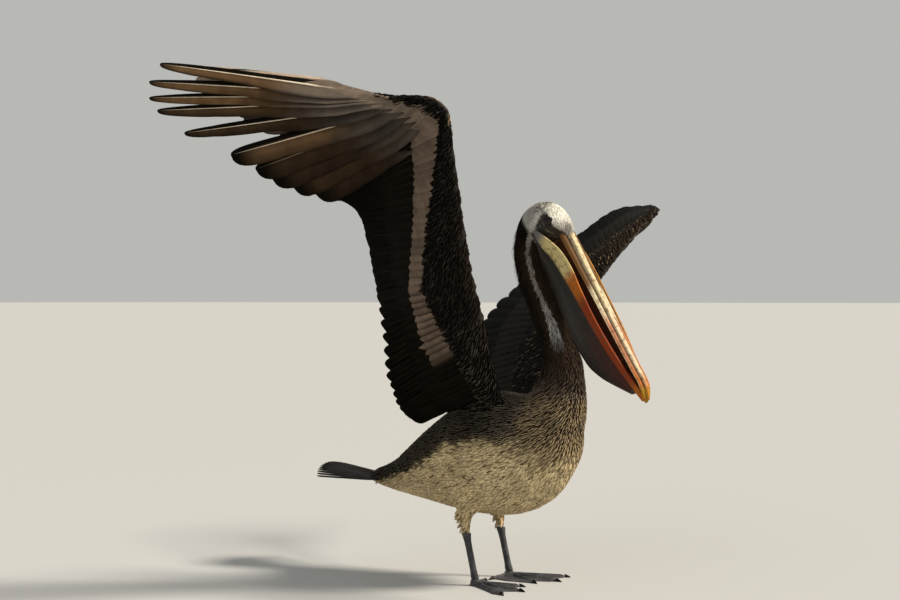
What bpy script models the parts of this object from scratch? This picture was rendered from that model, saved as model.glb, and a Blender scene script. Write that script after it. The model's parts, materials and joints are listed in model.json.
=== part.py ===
"""A life-size still model of a Peruvian pelican, standing with both wings raised.

The bird faces -Y, its left side is +X and up is +Z. Every place below is given in the bird's own
terms, as metres forward, to its left and up, and at() turns that into X, Y, Z. At the end the bird is
moved as a whole, so that its soles stand on Z = 0.
"""

import math

import bmesh
import bpy
from mathutils import Vector
from mathutils.bvhtree import BVHTree

# ---------------------------------------------------------------- driving dimensions, in metres
GAP = 0.0005  # left between two neighbouring pieces
VOXEL = 0.006  # grain of the body before it is thinned out to facets
BODY_FACES = 1560  # facets of trunk, neck, head and thighs together

# Trunk, from the root of the tail to the breast: forward, up, half width, height above, depth below.
TRUNK = [
    (-0.335, 0.168, 0.020, 0.012, 0.012),
    (-0.310, 0.171, 0.036, 0.022, 0.026),
    (-0.250, 0.182, 0.050, 0.036, 0.054),
    (-0.150, 0.212, 0.090, 0.078, 0.104),
    (-0.050, 0.236, 0.112, 0.116, 0.136),
    (0.036, 0.252, 0.111, 0.116, 0.138),
    (0.096, 0.278, 0.092, 0.090, 0.108),
    (0.134, 0.300, 0.066, 0.064, 0.072),
    (0.150, 0.312, 0.034, 0.032, 0.036),
]
# Neck and head, from inside the breast to the root of the bill: forward, up, half width, half depth.
NECK = [
    (0.095, 0.270, 0.078, 0.078),
    (0.122, 0.335, 0.066, 0.066),
    (0.134, 0.400, 0.046, 0.048),
    (0.123, 0.455, 0.036, 0.039),
    (0.106, 0.500, 0.033, 0.036),
    (0.087, 0.540, 0.031, 0.034),
    (0.069, 0.578, 0.030, 0.033),
    (0.058, 0.616, 0.030, 0.033),
    (0.060, 0.653, 0.031, 0.036),
    (0.080, 0.686, 0.033, 0.041),
    (0.107, 0.694, 0.034, 0.042),
    (0.133, 0.679, 0.031, 0.037),
    (0.153, 0.652, 0.025, 0.028),
    (0.165, 0.629, 0.014, 0.014),
]
HEAD_TURN = math.radians(15)  # the head looks a little to the bird's right
HEAD_FROM = 9  # row of NECK where the head begins
NECK_MIDDLE = 4  # row of NECK where the neck is parted in two
TRUNK_TOP = 2  # row of NECK where the neck meets the trunk

# Bill: root, direction and lengths. Its own axes are along, towards the top ridge, and to the left.
BILL_ROOT = (0.152, -0.011, 0.666)
BILL_ALONG = (0.590, -0.196, -0.783)
BILL_LENGTH = 0.386
# Each half of the lower jaw, from the gape to the tip: to the side, below the ridge line, half height.
JAW_BACK = -0.052  # the gape lies behind the bill's root
JAW = [
    (0.0345, 0.0265, 0.0060),
    (0.0335, 0.0220, 0.0105),
    (0.0325, 0.0190, 0.0110),
    (0.0320, 0.0172, 0.0100),
    (0.0310, 0.0162, 0.0085),
    (0.0270, 0.0154, 0.0075),
    (0.0180, 0.0150, 0.0065),
    (0.0050, 0.0145, 0.0055),
]
JAW_THICK = 0.0064
POUCH_DEPTHS = (0.016, 0.032, 0.046, 0.060, 0.074, 0.080, 0.066, 0.038, 0.014)  # below the jaw, throat to tip
POUCH_WALL = 0.003

EYE_RADIUS = 0.0078
EYE_PLACE = (0.126, 0.0272, 0.697)

# Legs: hip of the feathered thigh, heel joint, ankle over the foot.
THIGH_TOP = (-0.060, 0.060, 0.160)
HEEL = (-0.050, 0.062, 0.070)
ANKLE = (-0.030, 0.062, -0.012)
FLOOR = -0.025  # height of the soles
THIGH_CUT = 0.093  # height at which the leg is parted from the trunk
THIGH_RADIUS, HEEL_RADIUS, SHANK_RADIUS = 0.036, 0.0120, 0.0068
TOE_ANGLES = (-100, -24, 3, 30)  # hind, inner, middle and outer toe, in degrees outwards from straight ahead
TOE_LENGTHS = (0.048, 0.088, 0.108, 0.112)
TOE_HALF_ANGLE = 6  # degrees from the middle of a toe to its side
TOE_HIGH, WEB_THICK, ANKLE_HIGH = 0.0100, 0.0034, 0.0130
ANKLE_RADIUS = 0.0095
CLAW_LENGTH, CLAW_RADIUS = 0.013, 0.0036

# Tail: twenty-two short stiff feathers in one fan.
TAIL_ROOT = (-0.318, 0.0, 0.172)
TAIL_TIP = (-0.452, 0.0, 0.186)
TAIL_FEATHERS = 11
TAIL_SPREAD = math.radians(25)
TAIL_THICK = 0.006

# Wings: shoulder, elbow, wrist and end of the hand, then the line through the tips of the
# quills from the innermost to the first primary, then the first, fifth, eighth and tenth primary.
WINGS = {
    "right": {
        "bones": [(0.020, -0.066, 0.340), (0.010, -0.292, 0.562), (0.092, -0.336, 0.882), (-0.060, -0.442, 0.921)],
        "tips": [
            (-0.118, -0.135, 0.300),
            (-0.126, -0.178, 0.322),
            (-0.130, -0.213, 0.387),
            (-0.128, -0.236, 0.492),
            (-0.138, -0.255, 0.598),
            (-0.142, -0.284, 0.690),
            (-0.150, -0.328, 0.730),
        ],
        "primaries": [
            (-0.177, -0.376, 0.737),
            (-0.195, -0.419, 0.748),
            (-0.210, -0.461, 0.762),
            (-0.221, -0.495, 0.779),
            (-0.244, -0.536, 0.803),
            (-0.302, -0.596, 0.841),
            (-0.332, -0.634, 0.880),
            (-0.345, -0.641, 0.903),
            (-0.345, -0.641, 0.932),
            (-0.329, -0.630, 0.964),
        ],
        "slack": 0.004,
        "tuck": (0.0, 0.0, 0.0),
        "stack": 0.0,
    },
    "left": {
        "bones": [(0.038, 0.066, 0.340), (-0.075, 0.315, 0.549), (0.100, 0.478, 0.744), (-0.034, 0.602, 0.714)],
        "tips": [
            (-0.185, 0.115, 0.300),
            (-0.250, 0.190, 0.340),
            (-0.300, 0.300, 0.420),
            (-0.310, 0.420, 0.520),
            (-0.220, 0.505, 0.628),
            (-0.130, 0.560, 0.712),
            (-0.095, 0.635, 0.756),
        ],
        "primaries": [
            (-0.060, 0.712, 0.765),
            (-0.145, 0.785, 0.695),
            (-0.210, 0.825, 0.648),
            (-0.262, 0.838, 0.598),
        ],
        "slack": 0.044,
        "tuck": (-0.024, -0.007, -0.020),  # the half folded hand lies under the forearm
        "stack": 0.0042,  # and its quills lie one under the other, this far apart
    },
}
ARM_PROUD = 0.017  # how far the front edge stands before the bones
HAND_BULGE = 0.022  # how much further it stands out half way along the hand
ARM_THICK = (0.040, 0.030, 0.026, 0.016)  # at shoulder, elbow, wrist and end of hand
# The half folded hand: distance from the wrist, half width, height above and below its line
FOLDED_HAND = (
    (-0.012, 0.009, 0.006, 0.006),
    (-0.004, 0.018, 0.011, 0.011),
    (0.020, 0.025, 0.014, 0.016),
    (0.080, 0.027, 0.013, 0.020),
    (0.140, 0.027, 0.010, 0.020),
    (0.190, 0.023, 0.006, 0.016),
    (0.215, 0.012, 0.002, 0.008),
)
COVERED = 0.42  # share of each quill that the coverts hide
SECONDARIES, TERTIALS, PRIMARIES = 12, 6, 10
VANE_THICK = 0.0022
PRIMARY_WIDTH = 0.036
PRIMARY_THICK = 0.0016
PRIMARY_CANT = math.radians(14)  # each primary is turned about its shaft, so that they lie like slats


# ---------------------------------------------------------------- helpers
def at(forward, left, up):
    return Vector((left, -forward, up))


def place(values):
    return at(*values)


def smooth_row(rows, where):
    """A row of numbers read at a fraction of the way along a table, on a smooth curve."""
    spot = min(max(where, 0.0), 1.0) * (len(rows) - 1)
    k = min(int(spot), len(rows) - 2)
    t = spot - k
    a, b, c, d = (rows[min(max(k + n, 0), len(rows) - 1)] for n in (-1, 0, 1, 2))
    return [
        0.5 * (2 * q + (r - p) * t + (2 * p - 5 * q + 4 * r - s) * t**2 + (3 * q - p - 3 * r + s) * t**3)
        for p, q, r, s in zip(a, b, c, d)
    ]


def on_curve(points, where):
    return Vector(smooth_row(points, where))


def material(name, colour, roughness=0.8, metallic=0.0):
    made = bpy.data.materials.new(name)
    made.use_nodes = True
    shader = made.node_tree.nodes["Principled BSDF"]
    shader.inputs["Base Color"].default_value = (*colour, 1.0)
    shader.inputs["Roughness"].default_value = roughness
    shader.inputs["Metallic"].default_value = metallic
    return made


def add_object(name, mesh, collection):
    made = bpy.data.objects.new(name, mesh)
    collection.objects.link(made)
    return made


def loft(name, rings, collection):
    """A closed skin over rings with the same number of points, flat at both ends."""
    shape = bmesh.new()
    loops = [[shape.verts.new(point) for point in ring] for ring in rings]
    count = len(rings[0])
    for near, far in zip(loops, loops[1:]):
        for k in range(count):
            n = (k + 1) % count
            shape.faces.new((near[k], near[n], far[n], far[k]))
    shape.faces.new(loops[0])
    shape.faces.new(loops[-1])
    bmesh.ops.triangulate(shape, faces=[f for f in shape.faces if len(f.verts) > 4])
    bmesh.ops.recalc_face_normals(shape, faces=shape.faces)
    if shape.calc_volume(signed=True) < 0:
        bmesh.ops.reverse_faces(shape, faces=shape.faces)
    mesh = bpy.data.meshes.new(name)
    shape.to_mesh(mesh)
    shape.free()
    return add_object(name, mesh, collection)


def oval(centre, side, up, half_width, above, below, points=24):
    """A ring that is rounder above or below as the two heights say."""
    ring = []
    for k in range(points):
        angle = 2 * math.pi * k / points
        rise = math.sin(angle)
        ring.append(centre + side * (half_width * math.cos(angle)) + up * (rise * (above if rise > 0 else below)))
    return ring


def evaluated_mesh(obj):
    bpy.context.view_layer.update()
    graph = bpy.context.evaluated_depsgraph_get()
    return bpy.data.meshes.new_from_object(obj.evaluated_get(graph), depsgraph=graph)


def apply_modifiers(obj):
    mesh = evaluated_mesh(obj)
    obj.modifiers.clear()
    old, obj.data = obj.data, mesh
    mesh.name = obj.name
    bpy.data.meshes.remove(old)
    return obj


def boolean(obj, other, operation):
    cut = obj.modifiers.new(operation.title(), "BOOLEAN")
    cut.operation = operation
    cut.solver = "EXACT"
    cut.object = other
    return apply_modifiers(obj)


def swollen(obj, by, helpers):
    """A copy of a piece, grown by a small gap, to cut its neighbour with."""
    copy = add_object(obj.name + "_clearance", obj.data.copy(), helpers)
    grow = copy.modifiers.new("Grow", "DISPLACE")
    grow.strength = by
    grow.mid_level = 0.0
    apply_modifiers(copy)
    copy.hide_render = True
    copy.display_type = "WIRE"
    return copy


def keep_largest(obj):
    """Drops the crumbs that a cut leaves beside the piece."""
    shape = bmesh.new()
    shape.from_mesh(obj.data)
    bmesh.ops.remove_doubles(shape, verts=shape.verts, dist=0.0000005)
    unseen = set(shape.verts)
    groups = []
    while unseen:
        stack = [unseen.pop()]
        group = set(stack)
        while stack:
            for edge in stack.pop().link_edges:
                for vert in edge.verts:
                    if vert in unseen:
                        unseen.discard(vert)
                        group.add(vert)
                        stack.append(vert)
        groups.append(group)
    largest = max(groups, key=len)
    bmesh.ops.delete(shape, geom=[v for v in shape.verts if v not in largest], context="VERTS")
    bmesh.ops.triangulate(shape, faces=[f for f in shape.faces if len(f.verts) > 4])
    shape.to_mesh(obj.data)
    shape.free()
    return obj


def surface_tree(obj):
    return BVHTree.FromPolygons([v.co for v in obj.data.vertices], [list(p.vertices) for p in obj.data.polygons])


def fit_against(obj, neighbours, helpers, gap=GAP):
    """Cuts a piece back so that it stops a small gap short of the neighbours that it runs into."""
    for neighbour in neighbours:
        cutter = swollen(neighbour, gap, helpers)
        if surface_tree(obj).overlap(surface_tree(cutter)):
            boolean(obj, cutter, "DIFFERENCE")
    return keep_largest(obj)


def finish(obj, skin, smooth=True):
    shape = bmesh.new()
    shape.from_mesh(obj.data)
    bmesh.ops.triangulate(shape, faces=[f for f in shape.faces if len(f.verts) > 4])
    shape.to_mesh(obj.data)
    shape.free()
    obj.data.materials.clear()
    obj.data.materials.append(skin)
    if smooth:
        obj.data.shade_smooth()
        obj.data.set_sharp_from_angle(angle=math.radians(50))
    return obj


# ---------------------------------------------------------------- trunk, neck, head and thighs
def trunk_shape(helpers):
    rings = []
    for k in range(25):
        where = k / 24
        forward, up, half_width, above, below = smooth_row(TRUNK, where)
        before, after = (smooth_row(TRUNK, where + step) for step in (-0.02, 0.02))
        along = (at(after[0], 0, after[1]) - at(before[0], 0, before[1])).normalized()
        side = Vector((1, 0, 0))
        rings.append(oval(at(forward, 0, up), side, along.cross(side), half_width, above, below, 32))
    return loft("trunk_shape", rings, helpers)


def neck_place(row):
    """A point of the neck's line, turned with the head where it passes over it."""
    forward, up = row[0], row[1]
    turned = max(0.0, forward - NECK[HEAD_FROM - 2][0]) if up > NECK[HEAD_FROM - 2][1] else 0.0
    return at(forward, -math.tan(HEAD_TURN) * turned, up)


def neck_frame(where):
    before, after = (neck_place(smooth_row(NECK, where + step)) for step in (-0.01, 0.01))
    along = (after - before).normalized()
    side = Vector((1, 0, 0))
    side = (side - along * side.dot(along)).normalized()
    return neck_place(smooth_row(NECK, where)), along, side


def neck_shape(helpers):
    rings = []
    for k in range(43):
        where = k / 42
        centre, along, side = neck_frame(where)
        half_width, half_depth = smooth_row(NECK, where)[2:]
        rings.append(oval(centre, side, side.cross(along), half_width, half_depth, half_depth, 20))
    return loft("neck_shape", rings, helpers)


def thigh_shape(side, helpers):
    top, heel = (at(f, left * side, up) for f, left, up in (THIGH_TOP, HEEL))
    along = (heel - top).normalized()
    across = Vector((0, 1, 0))
    across = (across - along * across.dot(along)).normalized()
    rings = []
    for k in range(7):
        t = k / 6
        radius = THIGH_RADIUS + (HEEL_RADIUS - THIGH_RADIUS) * t**0.8
        rings.append(oval(top.lerp(heel, t * 0.93), along.cross(across), across, radius, radius, radius, 16))
    return loft("thigh_shape", rings, helpers)


def kept_side(mesh_source, point, normal):
    """The part of a closed mesh on the side of a plane that the normal points to, closed again."""
    shape = bmesh.new()
    shape.from_mesh(mesh_source)
    everything = list(shape.verts) + list(shape.edges) + list(shape.faces)
    cut = bmesh.ops.bisect_plane(shape, geom=everything, plane_co=point, plane_no=normal, clear_inner=True)
    rim = [e for e in cut["geom_cut"] if isinstance(e, bmesh.types.BMEdge)]
    filled = bmesh.ops.holes_fill(shape, edges=rim, sides=0)
    bmesh.ops.triangulate(shape, faces=filled["faces"])
    mesh = bpy.data.meshes.new("piece")
    shape.to_mesh(mesh)
    shape.free()
    return mesh


def parted(mesh, point, normal):
    """The two parts of a closed mesh on either side of a plane, a small gap apart: behind it and before it."""
    shift = normal * (GAP / 2)
    return kept_side(mesh, point - shift, -normal), kept_side(mesh, point + shift, normal)


def join_meshes(name, objects, helpers):
    shape = bmesh.new()
    for obj in objects:
        start = len(shape.verts)
        shape.from_mesh(obj.data)
        shape.verts.ensure_lookup_table()
        bmesh.ops.transform(shape, matrix=obj.matrix_world, verts=shape.verts[start:])
    mesh = bpy.data.meshes.new(name)
    shape.to_mesh(mesh)
    shape.free()
    return add_object(name, mesh, helpers)


def whole_body(helpers):
    """Trunk, neck, head and thighs grown into one skin, then thinned out to facets."""
    shapes = [trunk_shape(helpers), neck_shape(helpers), thigh_shape(1, helpers), thigh_shape(-1, helpers)]
    body = join_meshes("body", shapes, helpers)
    for shape in shapes:
        bpy.data.objects.remove(shape)
    grown = body.modifiers.new("Grow together", "REMESH")
    grown.mode = "VOXEL"
    grown.voxel_size = VOXEL
    eased = body.modifiers.new("Ease", "SMOOTH")
    eased.factor = 0.5
    eased.iterations = 7
    apply_modifiers(body)
    thin = body.modifiers.new("Thin out", "DECIMATE")
    thin.ratio = BODY_FACES / (2 * len(body.data.polygons))
    return apply_modifiers(body)


def body_pieces(collection, helpers, skin):
    rest = whole_body(helpers).data
    meshes = {}
    for name, row in (("head", HEAD_FROM - 1), ("neck_upper", NECK_MIDDLE), ("neck_lower", TRUNK_TOP)):
        centre, along, _ = neck_frame(row / (len(NECK) - 1))
        rest, meshes[name] = parted(rest, centre, along)
    legs, meshes["trunk"] = parted(rest, Vector((0, 0, THIGH_CUT)), Vector((0, 0, 1)))
    for name, side in (("thigh_left", 1), ("thigh_right", -1)):
        meshes[name] = kept_side(legs, Vector((0, 0, 0)), Vector((side, 0, 0)))
    return {name: finish(add_object(name, mesh, collection), skin) for name, mesh in meshes.items()}


def eyes(head, collection, helpers, glass):
    made = []
    for name, side in (("eye_left", 1), ("eye_right", -1)):
        forward, left, up = EYE_PLACE
        turned = at(forward, left * side - math.tan(HEAD_TURN) * 0.055, up)
        turned.y += math.tan(HEAD_TURN) * left * -side
        for label, radius, where in ((name + "_socket", EYE_RADIUS + GAP, helpers), (name, EYE_RADIUS, collection)):
            shape = bmesh.new()
            bmesh.ops.create_uvsphere(shape, u_segments=12, v_segments=7, radius=radius)
            bmesh.ops.translate(shape, verts=shape.verts, vec=turned)
            mesh = bpy.data.meshes.new(label)
            shape.to_mesh(mesh)
            shape.free()
            ball = add_object(label, mesh, where)
            if label == name:
                made.append(finish(ball, glass))
            else:
                ball.hide_render = True
                ball.display_type = "WIRE"
                boolean(head, ball, "DIFFERENCE")
    keep_largest(head)
    return made


# ---------------------------------------------------------------- bill and pouch
def bill_axes():
    along = place(BILL_ALONG).normalized()
    left = at(-BILL_ALONG[1], BILL_ALONG[0], 0).normalized()
    return along, left, left.cross(along).normalized() * -1


def in_bill(along_m, left_m, ridge_m):
    along, left, ridge = bill_axes()
    return place(BILL_ROOT) + along * along_m + left * left_m + ridge * ridge_m


def upper_bill(collection, horn):
    """Long and flat, with a raised ridge, a rounded end and a hooked nail."""
    half_widths = [(0.0190,), (0.0180,), (0.0160,), (0.0145,), (0.0138,), (0.0135,), (0.0140,), (0.0135,)]
    heights = [(0.0150,), (0.0120,), (0.0095,), (0.0080,), (0.0070,), (0.0065,), (0.0062,), (0.0065,)]
    rings = []
    for k in range(15):
        t = k / 14
        start = -0.03
        distance = start + (BILL_LENGTH - start) * t
        half = smooth_row(half_widths, t)[0]
        rise = smooth_row(heights, t)[0]
        end = max(0.0, (t - 0.90) / 0.10)
        half *= math.sqrt(max(0.0, 1 - end**2)) * 0.8 + 0.2
        drop = 0.016 * end**2
        ring = []
        for across, up in (
            (-1.0, -0.15), (-0.93, 0.25), (-0.62, 0.45), (-0.36, 0.50), (-0.20, 0.95), (0.0, 1.05), (0.20, 0.95),
            (0.36, 0.50), (0.62, 0.45), (0.93, 0.25), (1.0, -0.15), (0.80, -0.42), (0.0, -0.50), (-0.80, -0.42),
        ):
            ring.append(in_bill(distance, across * half, up * rise - drop))
        rings.append(ring)
    return finish(loft("bill_upper", rings, collection), horn)


def jaw_place(side, t):
    """The middle of one half of the lower jaw, from the gape at 0 to the tip at 1, and its half height."""
    out, below, half_height = smooth_row(JAW, t)
    distance = JAW_BACK + (BILL_LENGTH - 0.006 - JAW_BACK) * t
    return in_bill(distance, side * out, -below), half_height


def lower_bill(collection, horn):
    """Two bowed halves that meet at the tip: a tall thin bar that runs down one side and back up the other."""
    steps = 15
    stops = [(-1, k / steps) for k in range(steps)] + [(0, 1.0)] + [(1, 1 - k / steps) for k in range(1, steps + 1)]
    places = [jaw_place(side, t) for side, t in stops]
    _, left, ridge = bill_axes()
    rings = []
    for k, (centre, half_height) in enumerate(places):
        ahead = places[min(k + 1, len(places) - 1)][0]
        behind = places[max(k - 1, 0)][0]
        run = (ahead - behind).normalized()
        up = (ridge - run * ridge.dot(run)).normalized()
        out = run.cross(up)
        rings.append(oval(centre, out, up, JAW_THICK / 2, half_height, half_height, 8))
    return finish(loft("bill_lower", rings, collection), horn)


def pouch(collection, leather):
    """The bare skin slung between the two halves of the jaw and the front of the neck."""
    rings = []
    steps, points = 12, 8
    _, _, ridge = bill_axes()
    for k in range(steps):
        t = 0.06 + 0.88 * k / (steps - 1)
        (right, half_height), (left, _) = jaw_place(-1, t), jaw_place(1, t)
        drop = ridge * -(half_height + 3 * GAP)
        right, left = right + drop, left + drop
        middle, half = (right + left) / 2, (left - right) / 2
        down = ridge * -smooth_row([(d,) for d in POUCH_DEPTHS], k / (steps - 1))[0]
        outer, inner = [], []
        for n in range(points + 1):
            angle = math.pi * n / points
            bulge = 1 + 0.10 * math.sin(angle) ** 2
            for row, wall in ((outer, 0.0), (inner, POUCH_WALL)):
                wide = half * (1 - wall / half.length)
                deep = down * (1 - wall / down.length)
                row.append(middle - wide * math.cos(angle) * bulge + deep * math.sin(angle) ** 0.85)
        rings.append(outer + inner[::-1])
    return finish(loft("pouch", rings, collection), leather)


# ---------------------------------------------------------------- legs
def shank(side, thigh, sole, collection, leather):
    """The bare lower leg, from just under the feathered thigh to just above the foot, flat at both ends."""
    heel, ankle = (at(f, left * side, up) for f, left, up in (HEEL, ANKLE))
    top = min(v.co.z for v in thigh.data.vertices) - GAP
    bottom = max(v.co.z for v in sole.data.vertices) + GAP
    rings = []
    for k in range(7):
        t = k / 6
        knob = 1 + 0.45 * math.exp(-((t / 0.13) ** 2)) + 0.25 * math.exp(-(((1 - t) / 0.10) ** 2))
        height = top + (bottom - top) * t
        centre = heel.lerp(ankle, (heel.z - height) / (heel.z - ankle.z))
        radius = SHANK_RADIUS * knob
        rings.append(oval(centre, at(0, 1, 0), at(1, 0, 0), radius * 0.85, radius * 1.1, radius * 1.1, 10))
    return finish(loft("shank_right" if side < 0 else "shank_left", rings, collection), leather)


def on_foot(side, angle, radius, height):
    """A place over the sole, by its direction outwards from straight ahead and its distance from the ankle."""
    forward, left, _ = ANKLE
    turn = math.radians(angle)
    return at(forward + radius * math.cos(turn), side * (left + radius * math.sin(turn)), FLOOR + height)


def foot(side, collection, leather):
    """Four toes and the web that joins them all, as one low relief on a flat sole."""
    columns = []  # direction, reach and height: low at a toe's sides and on the web, high along its middle
    for k, (angle, reach) in enumerate(zip(TOE_ANGLES, TOE_LENGTHS)):
        if k:
            before, reach_before = TOE_ANGLES[k - 1], TOE_LENGTHS[k - 1]
            web_reach = 0.80 * (reach + reach_before) / 2
            columns.append(((angle + before) / 2, web_reach, WEB_THICK))
        columns.append((angle - TOE_HALF_ANGLE, reach * 0.93, WEB_THICK))
        columns.append((angle, reach, TOE_HIGH))
        columns.append((angle + TOE_HALF_ANGLE, reach * 0.93, WEB_THICK))
    for angle in (60, 110, 160, 205, 235):
        columns.append((angle, ANKLE_RADIUS * 1.2, WEB_THICK))
    rings = [[on_foot(side, angle, ANKLE_RADIUS * 0.8, ANKLE_HIGH) for angle, _, _ in columns]]
    rings.append([on_foot(side, angle, ANKLE_RADIUS, ANKLE_HIGH * 0.82) for angle, _, _ in columns])
    for share, low in ((0.25, 1.0), (0.60, 0.86), (0.93, 0.72), (1.0, 0.45)):
        ring = []
        for angle, reach, high in columns:
            radius = ANKLE_RADIUS * 1.1 + (reach - ANKLE_RADIUS * 1.1) * share
            ring.append(on_foot(side, angle, radius, high * low))
        rings.append(ring)
    rings.append([on_foot(side, angle, reach, 0.0) for angle, reach, _ in columns])
    return finish(loft("foot_right" if side < 0 else "foot_left", rings, collection), leather)


def claws(side, collection, horn):
    for k, (angle, reach) in enumerate(zip(TOE_ANGLES, TOE_LENGTHS)):
        root = on_foot(side, angle, reach + GAP, 0.0)
        run = (root - on_foot(side, angle, 0.0, 0.0)).normalized()
        out = run.cross(Vector((0, 0, 1)))
        rings = []
        for n in range(5):
            t = n / 4
            radius = CLAW_RADIUS * (1 - t) ** 0.7 + 0.0004
            centre = root + run * (CLAW_LENGTH * t) + Vector((0, 0, CLAW_RADIUS * (1.05 - 0.90 * t**1.5)))
            rings.append(oval(centre, out, Vector((0, 0, 1)), radius * 0.8, radius, min(radius, centre.z - FLOOR), 6))
        finish(loft(f"claw_{'right' if side < 0 else 'left'}_{k + 1}", rings, collection), horn)


# ---------------------------------------------------------------- tail
def tail(collection, quill):
    root, tip = place(TAIL_ROOT), place(TAIL_TIP)
    run = tip - root
    length = run.length
    run.normalize()
    out = Vector((1, 0, 0))
    up = out.cross(run)
    up = up if up.z > 0 else -up
    rows = []
    for k in range(TAIL_FEATHERS * 2 + 1):
        share = k / (TAIL_FEATHERS * 2) * 2 - 1
        angle = share * TAIL_SPREAD
        notch = 0.94 if k % 2 == 0 else 1.0
        reach = length * (1 - 0.16 * share**2) * notch
        base = root + out * (share * 0.030)
        end = base + run * (reach * math.cos(angle)) + out * (reach * math.sin(angle)) - up * (0.014 * share**2)
        rows.append((base - up * (0.006 * share**2), end))
    rings = []
    for base, end in rows:
        ring = []
        for t, thick in ((0.0, 1.6), (0.35, 1.2), (0.75, 0.8), (1.0, 0.45)):
            ring.append(base.lerp(end, t) + up * (TAIL_THICK * thick / 2))
        for t, thick in ((1.0, 0.45), (0.75, 0.8), (0.35, 1.2), (0.0, 1.6)):
            ring.append(base.lerp(end, t) - up * (TAIL_THICK * thick / 2))
        rings.append(ring)
    return finish(loft("tail", rings, collection), quill, smooth=False)


# ---------------------------------------------------------------- wings
class Wing:
    """Reads one wing's lines: s runs from 0 at the shoulder over 1, elbow, and 2, wrist, to 3, end of hand."""

    def __init__(self, side):
        plan = WINGS[side]
        self.side = side
        self.bones = [place(p) for p in plan["bones"]]
        self.tips = [place(p) for p in plan["tips"]]
        self.primaries = [place(p) for p in plan["primaries"]]
        self.slack = plan["slack"]
        self.tuck = place(plan["tuck"])
        self.stack = plan["stack"]

    def bone(self, s):
        s = min(max(s, 0.0), 3.0)
        k = min(int(s), 2)
        point = self.bones[k].lerp(self.bones[k + 1], s - k)
        # round the bend at elbow and wrist a little
        for joint in (1, 2):
            near = max(0.0, 1 - abs(s - joint) / 0.25)
            inside = (self.bones[joint - 1] + self.bones[joint + 1]) / 2 - self.bones[joint]
            point = point + inside * (0.05 * near**2)
        return point + self.tuck if s > 2.0 else point

    def tip(self, s):
        """Where the quill that is rooted at s ends."""
        if s <= 2.0:
            return on_curve(self.tips + [self.primaries[0]], s / 2.0 * 0.999)
        return on_curve(self.primaries, (s - 2.0) / 1.0)

    def front(self, s):
        """The front edge: a web of skin from shoulder to wrist, then the edge of the hand."""
        quill = (self.tip(s) - self.bone(s)).normalized()
        shoulder, wrist = self.bones[0], self.bone(2.0)
        if s < 2.0:
            t = s / 2.0
            point = shoulder.lerp(wrist, t)
            elbow_side = (self.bones[1] - shoulder.lerp(wrist, 0.5)).normalized()
            point = point + elbow_side * (self.slack * math.sin(math.pi * t))
        else:
            point = self.bone(s)
        bulge = -ARM_PROUD if self.stack else HAND_BULGE
        proud = ARM_PROUD + bulge * math.sin(math.pi * max(0.0, s - 2.0)) * 0.9
        return point - quill * proud

    def across(self, s):
        """Along the wing, square to the quill."""
        low, high = s - 0.04, s + 0.04
        if self.stack:  # the line breaks at the wrist of a folded hand
            low, high = (max(low, 2.001), high) if s > 2.0 else (low, min(high, 2.0))
        run = self.bone(high) + self.tip(high) - self.bone(low) - self.tip(low)
        return run.normalized()

    def up(self, s):
        """Away from the upper side of the wing."""
        quill = (self.tip(s) - self.bone(s)).normalized()
        up = self.across(s).cross(quill) if self.side == "left" else quill.cross(self.across(s))
        return up.normalized()

    def edge(self, s):
        """Where the coverts end and the bare quills begin."""
        return self.bone(s).lerp(self.tip(s), COVERED)

    def thick(self, s):
        return smooth_row([(t,) for t in ARM_THICK], s / 3)[0]

    def section(self, s):
        """The wing cut along a quill, from the front edge over the bones to the end of the coverts."""
        front, bone, edge, up = self.front(s), self.bone(s), self.edge(s), self.up(s)
        half = self.thick(s) / 2
        middle = front.lerp(bone, 0.5)
        web = half * (0.75 if s < 2.0 else 1.0)
        # the web of skin before the bones turns forwards out of the plane of the quills
        across, chord = self.across(s), bone - front
        face = (across.cross(chord) if self.side == "left" else chord.cross(across)).normalized()
        crown = (up + face).normalized()
        return [
            front,
            front.lerp(bone, 0.12) + face * (web * 0.55),
            middle + face * (web * 0.95),
            bone + crown * half,
            bone.lerp(edge, 0.35) + up * (half * 0.72),
            bone.lerp(edge, 0.70) + up * (half * 0.42),
            edge + up * (half * 0.20 + 0.0012),
            edge - up * (half * 0.12 + 0.0012),
            bone.lerp(edge, 0.70) - up * (half * 0.30),
            bone.lerp(edge, 0.35) - up * (half * 0.55),
            bone - crown * (half * 0.85),
            middle - face * (web * 0.60),
            front.lerp(bone, 0.12) - face * (web * 0.40),
        ]


def arm(wing, name, start, end, steps, collection, skin):
    rings = []
    for k in range(steps + 1):
        s = start + (end - start) * k / steps
        nudge = wing.across(s) * (GAP if k == 0 else -GAP if k == steps else 0.0)
        rings.append([point + nudge for point in wing.section(s)])
    return finish(loft(f"{name}_{wing.side}", rings, collection), skin)


def folded_hand(wing, collection, skin):
    """A paddle over the roots of the stacked quills, cut square to its own length."""
    wrist = wing.bone(2.001)
    ahead = (wing.tip(2.5) - wing.bone(2.3)).normalized()
    up = wing.up(2.5)
    up = (up - ahead * up.dot(ahead)).normalized()
    behind = ahead.cross(up)
    rings = []
    for distance, half, above, below in FOLDED_HAND:
        centre = wrist + ahead * distance
        ring = []
        for k in range(12):
            turn = math.tau * k / 12
            rise = math.sin(turn) * (above if math.sin(turn) > 0 else below)
            ring.append(centre + behind * (math.cos(turn) * half) + up * rise)
        rings.append(ring)
    return finish(loft(f"hand_{wing.side}", rings, collection), skin)


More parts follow.
